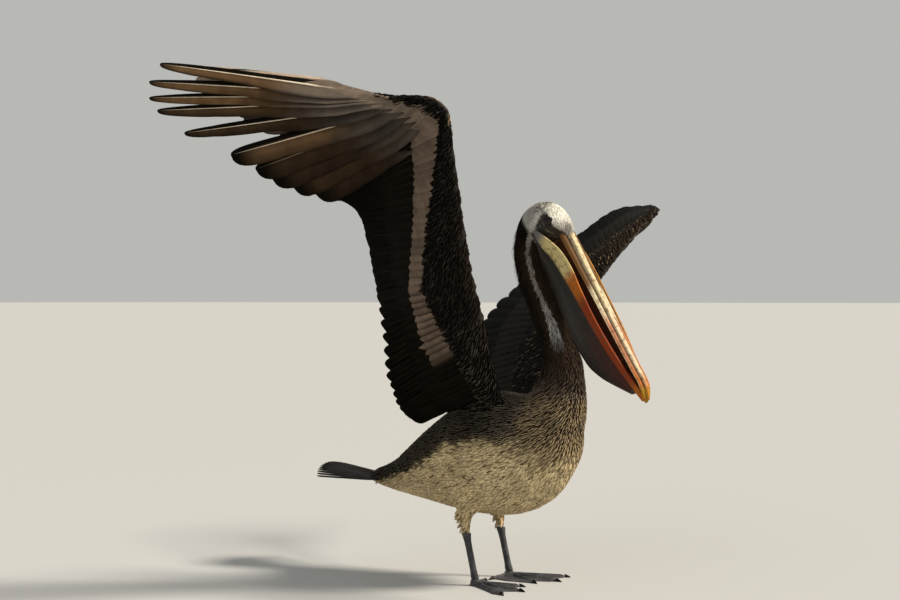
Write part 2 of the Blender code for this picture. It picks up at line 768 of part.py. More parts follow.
def vane_fan(wing, name, start, end, count, collection, quill):
    """A row of overlapping quills as one thin sheet with a scalloped edge."""
    rings = []
    for k in range(count * 2 + 1):
        s = start + (end - start) * k / (count * 2)
        root, tip, up = wing.edge(s), wing.tip(s), wing.up(s)
        nudge = wing.across(s) * (GAP if k == 0 else -GAP if k == count * 2 else 0.0)
        root, tip = root + (tip - root).normalized() * (2 * GAP) + nudge, tip + nudge
        reach = 0.955 if k % 2 == 0 else 1.0
        ring = []
        for t, thick in ((0.0, 1.3), (0.5, 1.0), (1.0, 0.6)):
            ring.append(root.lerp(tip, t * reach) + up * (VANE_THICK * thick / 2))
        for t, thick in ((1.0, 0.6), (0.5, 1.0), (0.0, 1.3)):
            ring.append(root.lerp(tip, t * reach) - up * (VANE_THICK * thick / 2))
        rings.append(ring)
    return finish(loft(f"{name}_{wing.side}", rings, collection), quill, smooth=False)


def primary(wing, number, collection, quill):
    """One long quill of the hand: a narrow blade, wider behind its shaft than before it."""
    share = (number - 0.5) / PRIMARIES
    s = 2.02 + 0.98 * share
    root, tip = wing.bone(2.0 + 0.72 * share), wing.tip(2.0 + (number - 1) / (PRIMARIES - 1))
    start = wing.edge(s)
    shaft = tip - root
    length = shaft.length
    shaft.normalize()
    cant = 0.0 if wing.stack else PRIMARY_CANT
    up = wing.up(2.5 if wing.stack else s)
    up = (up - shaft * up.dot(shaft)).normalized()
    layer = up * (wing.stack * (3 - number))
    root, tip = root + layer, tip + layer
    behind = shaft.cross(up)
    inner = wing.tip(max(2.0, s - 0.3)) - wing.tip(s)
    behind = behind if behind.dot(inner) > 0 else -behind
    lean = behind * math.cos(cant) - up * math.sin(cant)
    lift = up * math.cos(cant) + behind * math.sin(cant)
    begin = max(0.22, (start - root).dot(shaft) / length * (1.12 if number < 3 else 0.80))
    begin = 0.30 if wing.stack else begin
    fingered = share > 0.55
    rings = []
    steps = 5
    for k in range(steps + 1):
        t = begin + (1 - begin) * k / steps
        u = (t - begin) / (1 - begin)
        taper = math.sqrt(max(0.0, 1 - max(0.0, (u - 0.80) / 0.20) ** 2)) * 0.93 + 0.07
        narrow = 1 - (0.36 * min(1.0, max(0.0, (u - 0.25) / 0.3)) if fingered else 0.0)
        width = PRIMARY_WIDTH * taper * narrow
        bend = up * (0.030 * (t**2)) if wing.side == "right" else up * (0.020 * t**2)
        spine = root.lerp(tip, t) + bend - up * (0.030 if wing.side == "right" else 0.020) * 1.0 * t
        ring = []
        for across, rise in ((-0.26, 0.5), (0.0, 1.1), (0.74, 0.5), (0.74, -0.5), (0.0, -1.1), (-0.26, -0.5)):
            ring.append(spine + lean * (across * width) + lift * (rise * PRIMARY_THICK / 2))
        rings.append(ring)
    return finish(loft(f"primary_{wing.side}_{number:02d}", rings, collection), quill, smooth=False)


def build_wing(side, trunk, collection, helpers, skin, quill):
    """Every piece is cut back from those before it, so that nothing overlaps where the wing folds."""
    wing = Wing(side)
    upper = arm(wing, "upper_arm", 0.0, 1.0, 6, collection, skin)
    fore = arm(wing, "forearm", 1.0, 2.0, 5, collection, skin)
    hand = folded_hand(wing, collection, skin) if wing.stack else arm(wing, "hand", 2.001, 3.0, 7, collection, skin)
    inner = vane_fan(wing, "tertials", 0.22, 1.0, TERTIALS, collection, quill)
    outer = vane_fan(wing, "secondaries", 1.0, 2.0, SECONDARIES, collection, quill)
    blades = [primary(wing, number, collection, quill) for number in range(1, PRIMARIES + 1)]
    before = [trunk]
    for piece in [fore, hand, upper, inner, outer] + blades:
        fit_against(piece, before, helpers)
        fleshy = piece in (upper, fore, hand)
        finish(piece, skin if fleshy else quill, smooth=fleshy)
        before.append(piece)


def centre_over_origin(collection):
    """Moves the whole bird so that the middle of its footprint box stands over the origin."""
    corners = [v.co for obj in collection.objects for v in obj.data.vertices]
    low_x, high_x = min(c.x for c in corners), max(c.x for c in corners)
    low_y, high_y = min(c.y for c in corners), max(c.y for c in corners)
    stand = bpy.data.objects.new("pelican_frame", None)
    bpy.context.scene.collection.objects.link(stand)
    for obj in collection.objects:
        obj.parent = stand
    stand.location = (-(low_x + high_x) / 2, -(low_y + high_y) / 2, -FLOOR)


def main():
    for obj in list(bpy.data.objects):
        bpy.data.objects.remove(obj)
    collection = bpy.data.collections.new("pelican")
    helpers = bpy.data.collections.new("cutters")
    bpy.context.scene.collection.children.link(collection)
    bpy.context.scene.collection.children.link(helpers)

    feathers = material("feathered_body", (0.115, 0.095, 0.080))
    quill = material("flight_quill", (0.060, 0.045, 0.035), 0.6)
    horn = material("bill_horn", (0.780, 0.520, 0.200), 0.45)
    leather = material("bare_skin", (0.110, 0.105, 0.110), 0.5)
    claw_horn = material("claw_horn", (0.100, 0.085, 0.070), 0.4)
    glass = material("eye_glass", (0.030, 0.020, 0.015), 0.05)

    body = body_pieces(collection, helpers, feathers)
    head = body["head"]
    eyes(head, collection, helpers, glass)
    finish(head, feathers)
    top = finish(fit_against(upper_bill(collection, horn), [head], helpers), horn)
    jaw = finish(fit_against(lower_bill(collection, horn), [head, top], helpers), horn)
    bag = pouch(collection, leather)
    fit_against(bag, [head, body["neck_upper"], body["neck_lower"], body["trunk"], top, jaw], helpers)
    finish(bag, leather)

    for side, label in ((-1, "right"), (1, "left")):
        sole = foot(side, collection, leather)
        shank(side, body[f"thigh_{label}"], sole, collection, leather)
        claws(side, collection, claw_horn)

    rudder = tail(collection, quill)
    finish(fit_against(rudder, [body["trunk"]], helpers), quill, smooth=False)
    for side in ("right", "left"):
        build_wing(side, body["trunk"], collection, helpers, feathers, quill)
    for helper in list(helpers.objects):
        bpy.data.objects.remove(helper)
    centre_over_origin(collection)


main()
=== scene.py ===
# %% [markdown]
# # A pelican with raised wings
# This lesson dresses a plain, solid pelican: a skin under the plumage, some twenty-five thousand
# small feathers, the long quills of wings and tail, a bill with its pouch, eyes with lids, and
# webbed feet. The solid model is loaded first and never changes. All else is measured from it.

# %% Load the solid bird
import json
import math

import bmesh
import bpy
import numpy as np
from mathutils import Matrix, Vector
from mathutils.bvhtree import BVHTree
from mathutils.kdtree import KDTree


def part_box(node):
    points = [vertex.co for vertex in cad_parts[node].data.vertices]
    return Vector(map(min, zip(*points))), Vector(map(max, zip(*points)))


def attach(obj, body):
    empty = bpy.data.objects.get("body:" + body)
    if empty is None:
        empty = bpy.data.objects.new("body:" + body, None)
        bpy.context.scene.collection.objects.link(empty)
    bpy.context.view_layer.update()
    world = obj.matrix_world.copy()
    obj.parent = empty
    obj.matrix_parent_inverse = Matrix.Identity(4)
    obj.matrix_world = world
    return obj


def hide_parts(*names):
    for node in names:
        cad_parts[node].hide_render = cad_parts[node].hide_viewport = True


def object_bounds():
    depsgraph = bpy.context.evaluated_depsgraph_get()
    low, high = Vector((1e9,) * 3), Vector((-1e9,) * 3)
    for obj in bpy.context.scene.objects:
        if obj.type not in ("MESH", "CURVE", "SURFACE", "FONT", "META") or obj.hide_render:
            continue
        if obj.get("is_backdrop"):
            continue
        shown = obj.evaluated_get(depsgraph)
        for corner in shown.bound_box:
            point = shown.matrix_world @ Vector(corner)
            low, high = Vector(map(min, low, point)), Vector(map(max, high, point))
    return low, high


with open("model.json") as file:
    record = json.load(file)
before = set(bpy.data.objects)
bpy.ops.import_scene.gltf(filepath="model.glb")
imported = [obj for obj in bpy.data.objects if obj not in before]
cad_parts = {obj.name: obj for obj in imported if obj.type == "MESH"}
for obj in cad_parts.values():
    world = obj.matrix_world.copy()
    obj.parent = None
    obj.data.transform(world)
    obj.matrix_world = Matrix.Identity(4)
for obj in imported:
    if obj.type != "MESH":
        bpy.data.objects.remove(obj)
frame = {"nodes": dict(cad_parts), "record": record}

solid_box = [list(corner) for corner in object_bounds()]
print("solid bird", [round(b - a, 3) for a, b in zip(*solid_box)], "m")

# %% [markdown]
# The bird is easier to describe in its own terms: how far forward, how far to its left, and how
# high above its feet. The two soles tell where that frame lies in the world. Arrays of points
# carry most of the work, because a loop over so many feathers would be slow.

# %% The bird's own frame
SOLE_FORWARD = 0.010  # where each sole's mark lies before the hips
SOLE_DEPTH = 0.025  # the soles lie this far below the zero of the bird's heights
soles = {mount["name"]: mount["pos_m"] for mount in frame["record"]["mounts"]}
OFFSET = np.array([
    (soles["sole_left"][0] + soles["sole_right"][0]) / 2,
    soles["sole_left"][1] + SOLE_FORWARD,
    SOLE_DEPTH,
])
SIDES = {"left": 1, "right": -1}


def unit(vectors):
    vectors = np.asarray(vectors, float)
    return vectors / np.maximum(np.linalg.norm(vectors, axis=-1, keepdims=True), 1e-12)


def at(forward, left, up):
    """A point given in the bird's terms, as world coordinates."""
    return np.array([left, -forward, up], float) + OFFSET


def heading(forward, left, up):
    """A direction given in the bird's terms."""
    return unit(np.array([left, -forward, up], float))


def birdwise(points):
    """World points as columns of forward, left and up."""
    local = points - OFFSET
    return -local[:, 1], local[:, 0], local[:, 2]


# %% Small sums that come back all the time
def ramp(value, start, end):
    """0 before start, 1 after end, and smooth between them."""
    t = np.clip((np.asarray(value, float) - start) / (end - start), 0, 1)
    return t * t * (3 - 2 * t)


def mix(first, second, share):
    """Between two colours or rows of colours."""
    share = np.asarray(share, float)[..., None]
    return np.asarray(first, float) * (1 - share) + np.asarray(second, float) * share


def mix_chain(colour, *steps):
    """Mixes one colour after another into the first; each step is a colour and its share."""
    for other, share in steps:
        colour = mix(colour, other, share)
    return colour


def ripple(points, size, seed=0):
    """Soft irregular waves between -1 and 1, for edges that must not be straight."""
    p = points / size
    a = np.sin(p[:, 0] * 1.7 + p[:, 1] * 2.3 + p[:, 2] * 1.1 + seed)
    b = np.sin(p[:, 0] * -2.9 + p[:, 1] * 1.3 + p[:, 2] * 2.7 + seed * 2.1)
    c = np.sin(p[:, 0] * 4.1 + p[:, 1] * 3.7 - p[:, 2] * 3.3 + seed * 0.7)
    return (a + b + 0.7 * c) / 2.7


def smooth_row(rows, where):
    """A table read at fractions of the way along it, on a smooth curve."""
    rows = np.asarray(rows, float)
    spot = np.clip(where, 0.0, 1.0) * (len(rows) - 1)
    many = isinstance(spot, np.ndarray)
    k = np.minimum(spot.astype(int) if many else int(spot), len(rows) - 2)
    t = (spot - k)[..., None] if many else spot - k
    p, q, r, s = (rows[np.clip(k + n, 0, len(rows) - 1)] for n in (-1, 0, 1, 2))
    return 0.5 * (2 * q + (r - p) * t + (2 * p - 5 * q + 4 * r - s) * t**2 + (3 * q - p - 3 * r + s) * t**3)


# %% [markdown]
# Every mesh made from arrays goes through one small helper, which also stores a colour for each
# point and two maps: **vane** runs across and along a feather, and **OFBake** gives each feather
# its own small patch for baking.

# %% Helpers for selecting and editing
def deselect():
    bpy.ops.object.select_all(action="DESELECT")


def only(obj):
    """Selects one object and makes it the active one."""
    deselect()
    obj.select_set(True)
    bpy.context.view_layer.objects.active = obj


def in_edit_mode(obj, *steps):
    """Takes one mesh into edit mode and runs each step on the whole of it."""
    only(obj)
    bpy.ops.object.mode_set(mode="EDIT")
    for step in steps:
        bpy.ops.mesh.select_all(action="SELECT")
        step()
    bpy.ops.object.mode_set(mode="OBJECT")


def apply_modifier(obj, kind, **settings):
    modifier = obj.modifiers.new(kind, kind)
    for name, value in settings.items():
        setattr(modifier, name, value)
    bpy.ops.object.modifier_apply(modifier=modifier.name)


def turn_faces_out():
    bpy.ops.mesh.normals_make_consistent(inside=False)


# %% Helpers for reading and making meshes
def read(rows, label, width, kind=np.float32):
    """All that a mesh keeps under one label, as rows of numbers."""
    values = np.empty(len(rows) * width, kind)
    rows.foreach_get(label, values)
    return values.reshape(-1, width)


def points_of(mesh):
    return read(mesh.vertices, "co", 3).astype(float)


def normals_of(mesh):
    return read(mesh.vertex_normals, "vector", 3).astype(float)


def triangles_of(mesh):
    mesh.calc_loop_triangles()
    return read(mesh.loop_triangles, "vertices", 3, np.int32)


def put_in_scene(name, data):
    made = bpy.data.objects.new(name, data)
    bpy.context.scene.collection.objects.link(made)
    return made


def paint(mesh, colours, label="coat"):
    """Stores one colour for each point."""
    layer = mesh.color_attributes.new(label, "FLOAT_COLOR", "POINT")
    rgba = np.ones((len(mesh.vertices), 4), np.float32)
    rgba[:, :3] = np.clip(colours, 0, 1)
    layer.data.foreach_set("color", rgba.ravel())


def mesh_object(name, points, faces, vane, bake=None, **paints):
    """A smooth mesh from arrays of points and of three- and four-sided faces."""
    mesh = bpy.data.meshes.new(name)
    corners = np.concatenate([part.ravel() for part in faces]).astype(np.int32)
    sizes = np.concatenate([np.full(len(part), part.shape[1]) for part in faces])
    mesh.vertices.add(len(points))
    mesh.vertices.foreach_set("co", np.asarray(points, np.float32).ravel())
    mesh.loops.add(len(corners))
    mesh.loops.foreach_set("vertex_index", corners)
    mesh.polygons.add(len(sizes))
    mesh.polygons.foreach_set("loop_start", np.concatenate([[0], np.cumsum(sizes)[:-1]]).astype(np.int32))
    mesh.polygons.foreach_set("use_smooth", np.ones(len(sizes), bool))
    mesh.update(calc_edges=True)
    for label, colours in paints.items():
        paint(mesh, colours, label)
    for label, values in (("OFBake", bake), ("vane", vane)):
        if values is not None:
            layer = mesh.uv_layers.new(name=label)
            layer.uv.foreach_set("vector", np.asarray(values, np.float32)[corners].ravel())
    return put_in_scene(name, mesh)


def dress(obj, material):
    obj.data.materials.clear()
    obj.data.materials.append(material)


def finish_piece(obj, material, slot, *nodes):
    """Gives a finished piece its look, hangs it under the root and hides the solid parts it stands for."""
    dress(obj, material)
    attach(obj, "root")
    if nodes:
        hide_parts(*nodes)


# %% [markdown]
# ## Materials
# Plumage isn't one colour with a noise over it. Each feather has a shaft and barbs that run
# slantwise out of it, so the coat material draws those on the **vane** map and takes its base
# colour from the points. Plumage is nearly matt, and horn and wet eyes are not.

# %% Material building blocks
class Look:
    """A material, with short calls for the few kinds of node that this bird needs."""

    def __init__(self, name, roughness, specular=0.5):
        self.material = bpy.data.materials.new(name)
        self.material.use_nodes = True
        self.tree = self.material.node_tree
        self.shader = self.tree.nodes["Principled BSDF"].inputs
        self.feed(self.shader["Roughness"], roughness)
        self.feed(self.shader["Specular IOR Level"], specular)

    def feed(self, socket, value):
        """Links another node's socket, or sets a number, a direction or a colour."""
        if isinstance(value, bpy.types.NodeSocket):
            self.tree.links.new(value, socket)
        else:
            socket.default_value = (*value, 1.0) if socket.type == "RGBA" else value

    def node(self, kind, *fed, out=0, **settings):
        """A new node, its first inputs filled in order and the rest by name; gives one output."""
        made = self.tree.nodes.new("ShaderNode" + kind)
        for name, value in settings.items():
            if name.replace("_", " ") in made.inputs:
                self.feed(made.inputs[name.replace("_", " ")], value)
            else:
                setattr(made, name, value)
        for socket, value in zip(made.inputs, fed):
            self.feed(socket, value)
        return made.outputs[out]

    def maths(self, operation, *values):
        return self.node("Math", *values, operation=operation)

    def vector_maths(self, operation, *values, out=0):
        return self.node("VectorMath", *values, operation=operation, out=out)

    def remap(self, value, low, high, new_low=0.0, new_high=1.0):
        return self.node("MapRange", value, low, high, new_low, new_high, interpolation_type="SMOOTHSTEP")

    def noise(self, place, scale, detail, **settings):
        return self.node("TexNoise", place, Scale=scale, Detail=detail, out="Fac", **settings)

    def place(self):
        return self.node("TexCoord", out="Object")

    def vane(self):
        return self.node("UVMap", uv_map="vane")

    def points_colour(self, label="coat"):
        return self.node("Attribute", attribute_name=label, out="Color")

    def mixed(self, mode, share, first, second):
        made = self.tree.nodes.new("ShaderNodeMix")
        made.data_type, made.blend_type = "RGBA", mode
        for k, value in ((0, share), (6, first), (7, second)):
            self.feed(made.inputs[k], value)
        return made.outputs[2]

    def toned(self, base, tone):
        """A colour made darker or lighter by one number."""
        return self.mixed("MULTIPLY", 1.0, base, self.node("CombineXYZ", tone, tone, tone))

    def close(self, colour, height=None, strength=0.0, distance=0.0):
        self.feed(self.shader["Base Color"], colour)
        if height is not None:
            bumped = self.node("Bump", Strength=strength, Distance=distance, Height=height, out="Normal")
            self.feed(self.shader["Normal"], bumped)
        return self.material


# %% Plumage
BARB_SLANT = 0.55
BARB_DEPTH = 0.16  # how much the barbs darken and lighten the vane
FEATHER_RELIEF = 0.0004
SHAFT_LIGHT = (0.30, 0.25, 0.19)


def plumage(name, barbs, shaft_width, relief, roughness=0.72, shaft_gain=0.0, streak=0.0):
    """Barbs and a shaft drawn on each feather over the colour of its points."""
    look = Look(name, roughness, specular=0.03)
    maths = look.maths
    place, vane = look.place(), look.vane()
    across, along = (look.node("SeparateXYZ", vane, out=k) for k in (0, 1))
    away = maths("ABSOLUTE", maths("SUBTRACT", across, 0.5))
    slant = maths("SUBTRACT", along, maths("MULTIPLY", away, BARB_SLANT))
    jitter = maths("MULTIPLY", look.noise(place, 260.0, 3.0), 0.9)
    phase = maths("ADD", maths("MULTIPLY", slant, barbs), jitter)
    barb = maths("MULTIPLY", maths("SINE", maths("MULTIPLY", phase, 2 * math.pi)), 0.5)
    shaft = look.remap(away, shaft_width, 0.0)
    base = look.points_colour()
    if streak:  # the pale streak along the middle of a feather, with a ragged edge
        rugged = maths("ADD", away, maths("MULTIPLY", barb, 0.05))
        inside, after = look.remap(rugged, streak, streak * 0.45), look.remap(along, 0.25, 0.50)
        base = look.mixed("MIX", maths("MULTIPLY", inside, after), base, look.points_colour("streak"))
    worn = maths("ADD", maths("MULTIPLY", barb, BARB_DEPTH), 1.0)
    worn = maths("MULTIPLY", worn, look.remap(look.noise(place, 38.0, 4.0), 0.25, 0.75, 0.80, 1.18))
    gain = maths("MULTIPLY", shaft, shaft_gain)
    lighter = look.mixed("ADD", gain, look.toned(base, worn), SHAFT_LIGHT)
    height = maths("ADD", barb, maths("MULTIPLY", shaft, 1.2))
    return look.close(lighter, height, relief, FEATHER_RELIEF)


# %% Bare skin
CREASE_RELIEF = 0.0006


def leather(name, scale, relief, roughness, wrinkle_stretch=1.0):
    """Skin with fine cells and creases, in the colour of its points."""
    look = Look(name, roughness, specular=0.22)
    place = look.node("Mapping", look.place(), Scale=(1.0, 1.0, wrinkle_stretch))
    cells = look.node("TexVoronoi", place, Scale=scale, feature="DISTANCE_TO_EDGE", out="Distance")
    creases = look.noise(place, scale * 0.35, 6.0, Distortion=0.6)
    crack = look.remap(cells, 0.0, 0.10)
    shade = look.remap(crack, 0.0, 1.0, 0.78, 1.0)
    tone = look.maths("MULTIPLY", look.remap(creases, 0.3, 0.7, 0.72, 1.22), shade)
    height = look.maths("ADD", crack, look.maths("MULTIPLY", creases, 1.6))
    return look.close(look.toned(look.points_colour(), tone), height, relief, CREASE_RELIEF)


# %% Horn
HORN_STAIN = (0.105, 0.050, 0.020)
HORN_RELIEF = 0.0005


def horn(name):
    """Horn: long fine grain, small brown stains, a soft polish worn unevenly."""
    look = Look(name, 0.5, specular=0.16)
    place = look.place()
    grain = look.noise(look.node("Mapping", look.vane(), Scale=(70.0, 9.0, 1.0)), 1.0, 7.0, Roughness=0.65)
    stain = look.noise(place, 120.0, 5.0, Roughness=0.6)
    scuffs = look.noise(place, 420.0, 3.0)
    shaded = look.toned(look.points_colour(), look.remap(grain, 0.32, 0.68, 0.58, 1.10))
    spots = look.maths("MULTIPLY", look.remap(stain, 0.50, 0.66), 0.62)
    look.feed(look.shader["Roughness"], look.remap(scuffs, 0.2, 0.8, 0.52, 0.78))
    height = look.maths("ADD", grain, look.maths("MULTIPLY", scuffs, 0.3))
    return look.close(look.mixed("MIX", spots, shaded, HORN_STAIN), height, 0.35, HORN_RELIEF)


# %% Wet eyes
IRIS_DARK, IRIS_BROWN = (0.010, 0.006, 0.004), (0.034, 0.017, 0.008)
PUPIL_BLACK, EYE_EDGE = (0.003, 0.003, 0.003), (0.012, 0.010, 0.010)


def eye_material(name, centre, gaze):
    """A dark brown iris round a black pupil, under a wet surface."""
    look = Look(name, 0.08, specular=0.20)
    look.feed(look.shader["Coat Weight"], 0.12)
    look.feed(look.shader["Coat Roughness"], 0.03)
    place = look.place()
    facing = look.vector_maths("NORMALIZE", look.vector_maths("SUBTRACT", place, tuple(centre)))
    turn = look.vector_maths("DOT_PRODUCT", facing, tuple(gaze), out="Value")
    iris = look.mixed("MIX", look.noise(place, 900.0, 3.0), IRIS_DARK, IRIS_BROWN)
    ball = look.mixed("MIX", look.remap(turn, 0.90, 0.92), iris, PUPIL_BLACK)
    return look.close(look.mixed("MIX", look.remap(turn, 0.62, 0.55), ball, EYE_EDGE))


# %% The bird's materials
coat_material = plumage("body_feathers", barbs=9, shaft_width=0.05, relief=0.5, streak=0.17)
fluff_material = plumage("head_feathers", barbs=5, shaft_width=0.06, relief=0.35, roughness=0.82)
quill_material = plumage("long_quills", barbs=90, shaft_width=0.02, relief=0.45, roughness=0.62,
                         shaft_gain=0.03)
skin_material = leather("skin_under_feathers", 900.0, 0.35, 0.62)
pouch_material = leather("pouch_skin", 420.0, 0.45, 0.46, wrinkle_stretch=0.35)
foot_material = leather("foot_scales", 380.0, 0.9, 0.48)
bill_material = horn("bill_horn_grain")
claw_material = horn("claw_horn_grain")
print("materials", len(bpy.data.materials))

# %% [markdown]
# ## The lines of the body
# Trunk, neck and wings each follow a line. The same points drew the solid bird, so reading them
# again tells, for any place on the surface, which way its feathers lie and how far along it is.

# %% Lines of trunk, neck and head
TRUNK = [  # forward, up: rump to breast
    (-0.335, 0.168), (-0.310, 0.171), (-0.250, 0.182), (-0.150, 0.212), (-0.050, 0.236),
    (0.036, 0.252), (0.096, 0.278), (0.134, 0.300),
]
NECK = [  # forward, up: shoulders to face
    (0.095, 0.270), (0.122, 0.335), (0.134, 0.400), (0.123, 0.455), (0.106, 0.500), (0.087, 0.540),
    (0.069, 0.578), (0.058, 0.616), (0.060, 0.653), (0.080, 0.686), (0.107, 0.694), (0.133, 0.679),
    (0.153, 0.652), (0.165, 0.629),
]
HEAD_TURN = math.radians(15)
HEAD_STARTS = NECK[7]
BILL_ROOT = at(0.152, -0.011, 0.666)
BILL_ALONG = heading(0.590, -0.196, -0.783)
BILL_LEFT = heading(0.196, 0.590, 0.0)
BILL_RIDGE = -unit(np.cross(BILL_LEFT, BILL_ALONG))
BILL_LENGTH = 0.386


def body_line(rows, steps):
    """Points on a line of the body, and the way it runs; the head turns to the bird's right."""
    forward, up = smooth_row(rows, np.linspace(0, 1, steps)).T
    turned = np.where(up > HEAD_STARTS[1], np.maximum(0.0, forward - HEAD_STARTS[0]), 0.0)
    points = np.stack([-math.tan(HEAD_TURN) * turned, -forward, up], axis=-1) + OFFSET
    return points, unit(np.gradient(points, axis=0))


neck_points, neck_along = body_line(NECK, 80)
trunk_points, trunk_along = body_line(TRUNK, 60)


def nearest_on(line, points):
    """Which step of a line is nearest to each point."""
    best = np.empty(len(points), int)
    for start in range(0, len(points), 20000):
        part = points[start : start + 20000]
        best[start : start + 20000] = ((part[:, None, :] - line[None]) ** 2).sum(-1).argmin(1)
    return best


def bill_terms(points):
    """How far along the bill, to its left and towards its ridge each point lies."""
    away = points - BILL_ROOT
    return away @ BILL_ALONG, away @ BILL_LEFT, away @ BILL_RIDGE


# %% [markdown]
# A wing is read by one number, s: 0 at the shoulder, 1 at the elbow, 2 at the wrist and 3 at the
# end of the hand. At each s a quill leaves the bone for its tip. The web of skin before the bones
# has a front edge of its own.

# %% Lines of the wings
WINGS = {
    "right": {
        "bones": [
            (0.020, -0.066, 0.340), (0.010, -0.292, 0.562), (0.092, -0.336, 0.882), (-0.060, -0.442, 0.921),
        ],
        "tips": [
            (-0.118, -0.135, 0.300), (-0.126, -0.178, 0.322), (-0.130, -0.213, 0.387),
            (-0.128, -0.236, 0.492), (-0.138, -0.255, 0.598), (-0.142, -0.284, 0.690),
            (-0.150, -0.328, 0.730),
        ],
        "primaries": [
            (-0.177, -0.376, 0.737), (-0.195, -0.419, 0.748), (-0.210, -0.461, 0.762),
            (-0.221, -0.495, 0.779), (-0.244, -0.536, 0.803), (-0.302, -0.596, 0.841),
            (-0.332, -0.634, 0.880), (-0.345, -0.641, 0.903), (-0.345, -0.641, 0.932),
            (-0.329, -0.630, 0.964),
        ],
        "slack": 0.004, "tuck": (0.0, 0.0, 0.0), "folded": False,
    },
    "left": {
        "bones": [
            (0.038, 0.066, 0.340), (-0.075, 0.315, 0.549), (0.100, 0.478, 0.744), (-0.034, 0.602, 0.714),
        ],
        "tips": [
            (-0.185, 0.115, 0.300), (-0.250, 0.190, 0.340), (-0.300, 0.300, 0.420), (-0.310, 0.420, 0.520),
            (-0.220, 0.505, 0.628), (-0.130, 0.560, 0.712), (-0.095, 0.635, 0.756),
        ],
        "primaries": [
            (-0.060, 0.712, 0.765), (-0.145, 0.785, 0.695), (-0.210, 0.825, 0.648), (-0.262, 0.838, 0.598),
        ],
        "slack": 0.044, "tuck": (-0.024, -0.007, -0.020), "folded": True,
    },
}
COVERED = 0.42  # share of each quill that lies under the coverts
STANDS_PROUD = 0.017  # the front edge lies this far before the bone
HAND_BULGE = 0.022
WRIST, HAND_END = 2.0, 3.0
JOINT_ROUNDING = 0.05


class Wing:
    """Reads one wing's lines at any s."""

    def __init__(self, side):
        plan = WINGS[side]
        self.side, self.folded, self.slack = side, plan["folded"], plan["slack"]
        for name in ("bones", "tips", "primaries"):
            setattr(self, name, np.array([at(*p) for p in plan[name]]))
        self.tuck = at(*plan["tuck"]) - OFFSET
        self.steps = np.linspace(0, HAND_END, 61)
        self.table = {name: np.array([getattr(self, name)(s) for s in self.steps])
                      for name in ("bone", "tip", "front", "edge", "across", "up")}

    def bone(self, s):
        s = min(max(s, 0.0), HAND_END)
        k = min(int(s), 2)
        point = self.bones[k] + (self.bones[k + 1] - self.bones[k]) * (s - k)
        for joint in (1, 2):
            near = max(0.0, 1 - abs(s - joint) / 0.25)
            chord = (self.bones[joint - 1] + self.bones[joint + 1]) / 2 - self.bones[joint]
            point = point + chord * JOINT_ROUNDING * near**2
        return point + self.tuck if s > WRIST else point

    def tip(self, s):
        if s <= WRIST:
            return smooth_row(np.vstack([self.tips, self.primaries[:1]]), s / WRIST * 0.999)
        return smooth_row(self.primaries, s - WRIST)

    def quill(self, s):
        return unit(self.tip(s) - self.bone(s))

    def front(self, s):
        point = self.bone(s)
        if s < WRIST:
            shoulder, wrist = self.bones[0], self.bone(WRIST)
            point = shoulder + (wrist - shoulder) * s / 2
            elbow_side = unit(self.bones[1] - (shoulder + wrist) / 2)
            point = point + elbow_side * (self.slack * math.sin(math.pi * s / 2))
        bulge = -STANDS_PROUD if self.folded else HAND_BULGE
        return point - self.quill(s) * (STANDS_PROUD + bulge * math.sin(math.pi * max(0.0, s - WRIST)) * 0.9)

    def edge(self, s):
        return self.bone(s) + (self.tip(s) - self.bone(s)) * COVERED

    def across(self, s):
        low, high = s - 0.04, s + 0.04
        if self.folded:
            low, high = (max(low, 2.001), high) if s > WRIST else (low, min(high, WRIST))
        return unit(self.bone(high) + self.tip(high) - self.bone(low) - self.tip(low))

    def up(self, s):
        turn = np.cross(self.across(s), self.quill(s))
        return unit(turn if self.side == "left" else -turn)

    def read(self, name, s):
        """A line of the wing at one or many values of s."""
        spot = np.clip(np.asarray(s, float), 0, HAND_END) / HAND_END * (len(self.steps) - 1)
        k = np.minimum(spot.astype(int), len(self.steps) - 2)
        rows = self.table[name]
        return rows[k] + (rows[k + 1] - rows[k]) * (spot - k)[..., None]

    def locate(self, points):
        """s for each point, how far it is from front edge (0) over bone (1) to the end of coverts (2),
        and whether it is on the upper side."""
        front, bone, edge = (self.table[name] for name in ("front", "bone", "edge"))
        s, q, high = (np.empty(len(points)) for _ in range(3))
        for start in range(0, len(points), 8000):
            some = slice(start, start + 8000)
            part = points[some][:, None, :]
            found = []
            for a, b, base in ((front, bone, 0.0), (bone, edge, 1.0)):
                run = (b - a)[None]
                t = np.clip(((part - a[None]) * run).sum(-1) / np.maximum((run**2).sum(-1), 1e-9), 0, 1)
                gap = (((a[None] + run * t[..., None]) - part) ** 2).sum(-1)
                found.append((gap, base + t))
            (gap_before, before), (gap_behind, behind) = found
            k = np.minimum(gap_before, gap_behind).argmin(1)
            rows = np.arange(len(k))
            place = np.where(gap_before < gap_behind, before, behind)[rows, k]
            centre = np.where((place < 1)[:, None], front[k] + (bone - front)[k] * place[:, None],
                              bone[k] + (edge - bone)[k] * (place - 1)[:, None])
            s[some], q[some] = self.steps[k], place
            high[some] = ((part[:, 0] - centre) * self.table["up"][k]).sum(-1)
        return s, q, high > 0


wings = {side: Wing(side) for side in ("right", "left")}
for side, wing in wings.items():
    lengths = [round(float(np.linalg.norm(wing.tip(s) - wing.bone(s))), 3) for s in (0.5, 1, 1.5, 2, 2.5, 3)]
    print(side, "wing: quills", lengths)

# %% [markdown]
# ## The skin
# Under its plumage a bird is smooth and a good deal thinner. The skin starts as copies of the
# fleshy solids, joined and remeshed to one closed surface, then smoothed and drawn in along its
# normals by the depth of the coat: two millimetres on the head, eight or nine on the trunk.

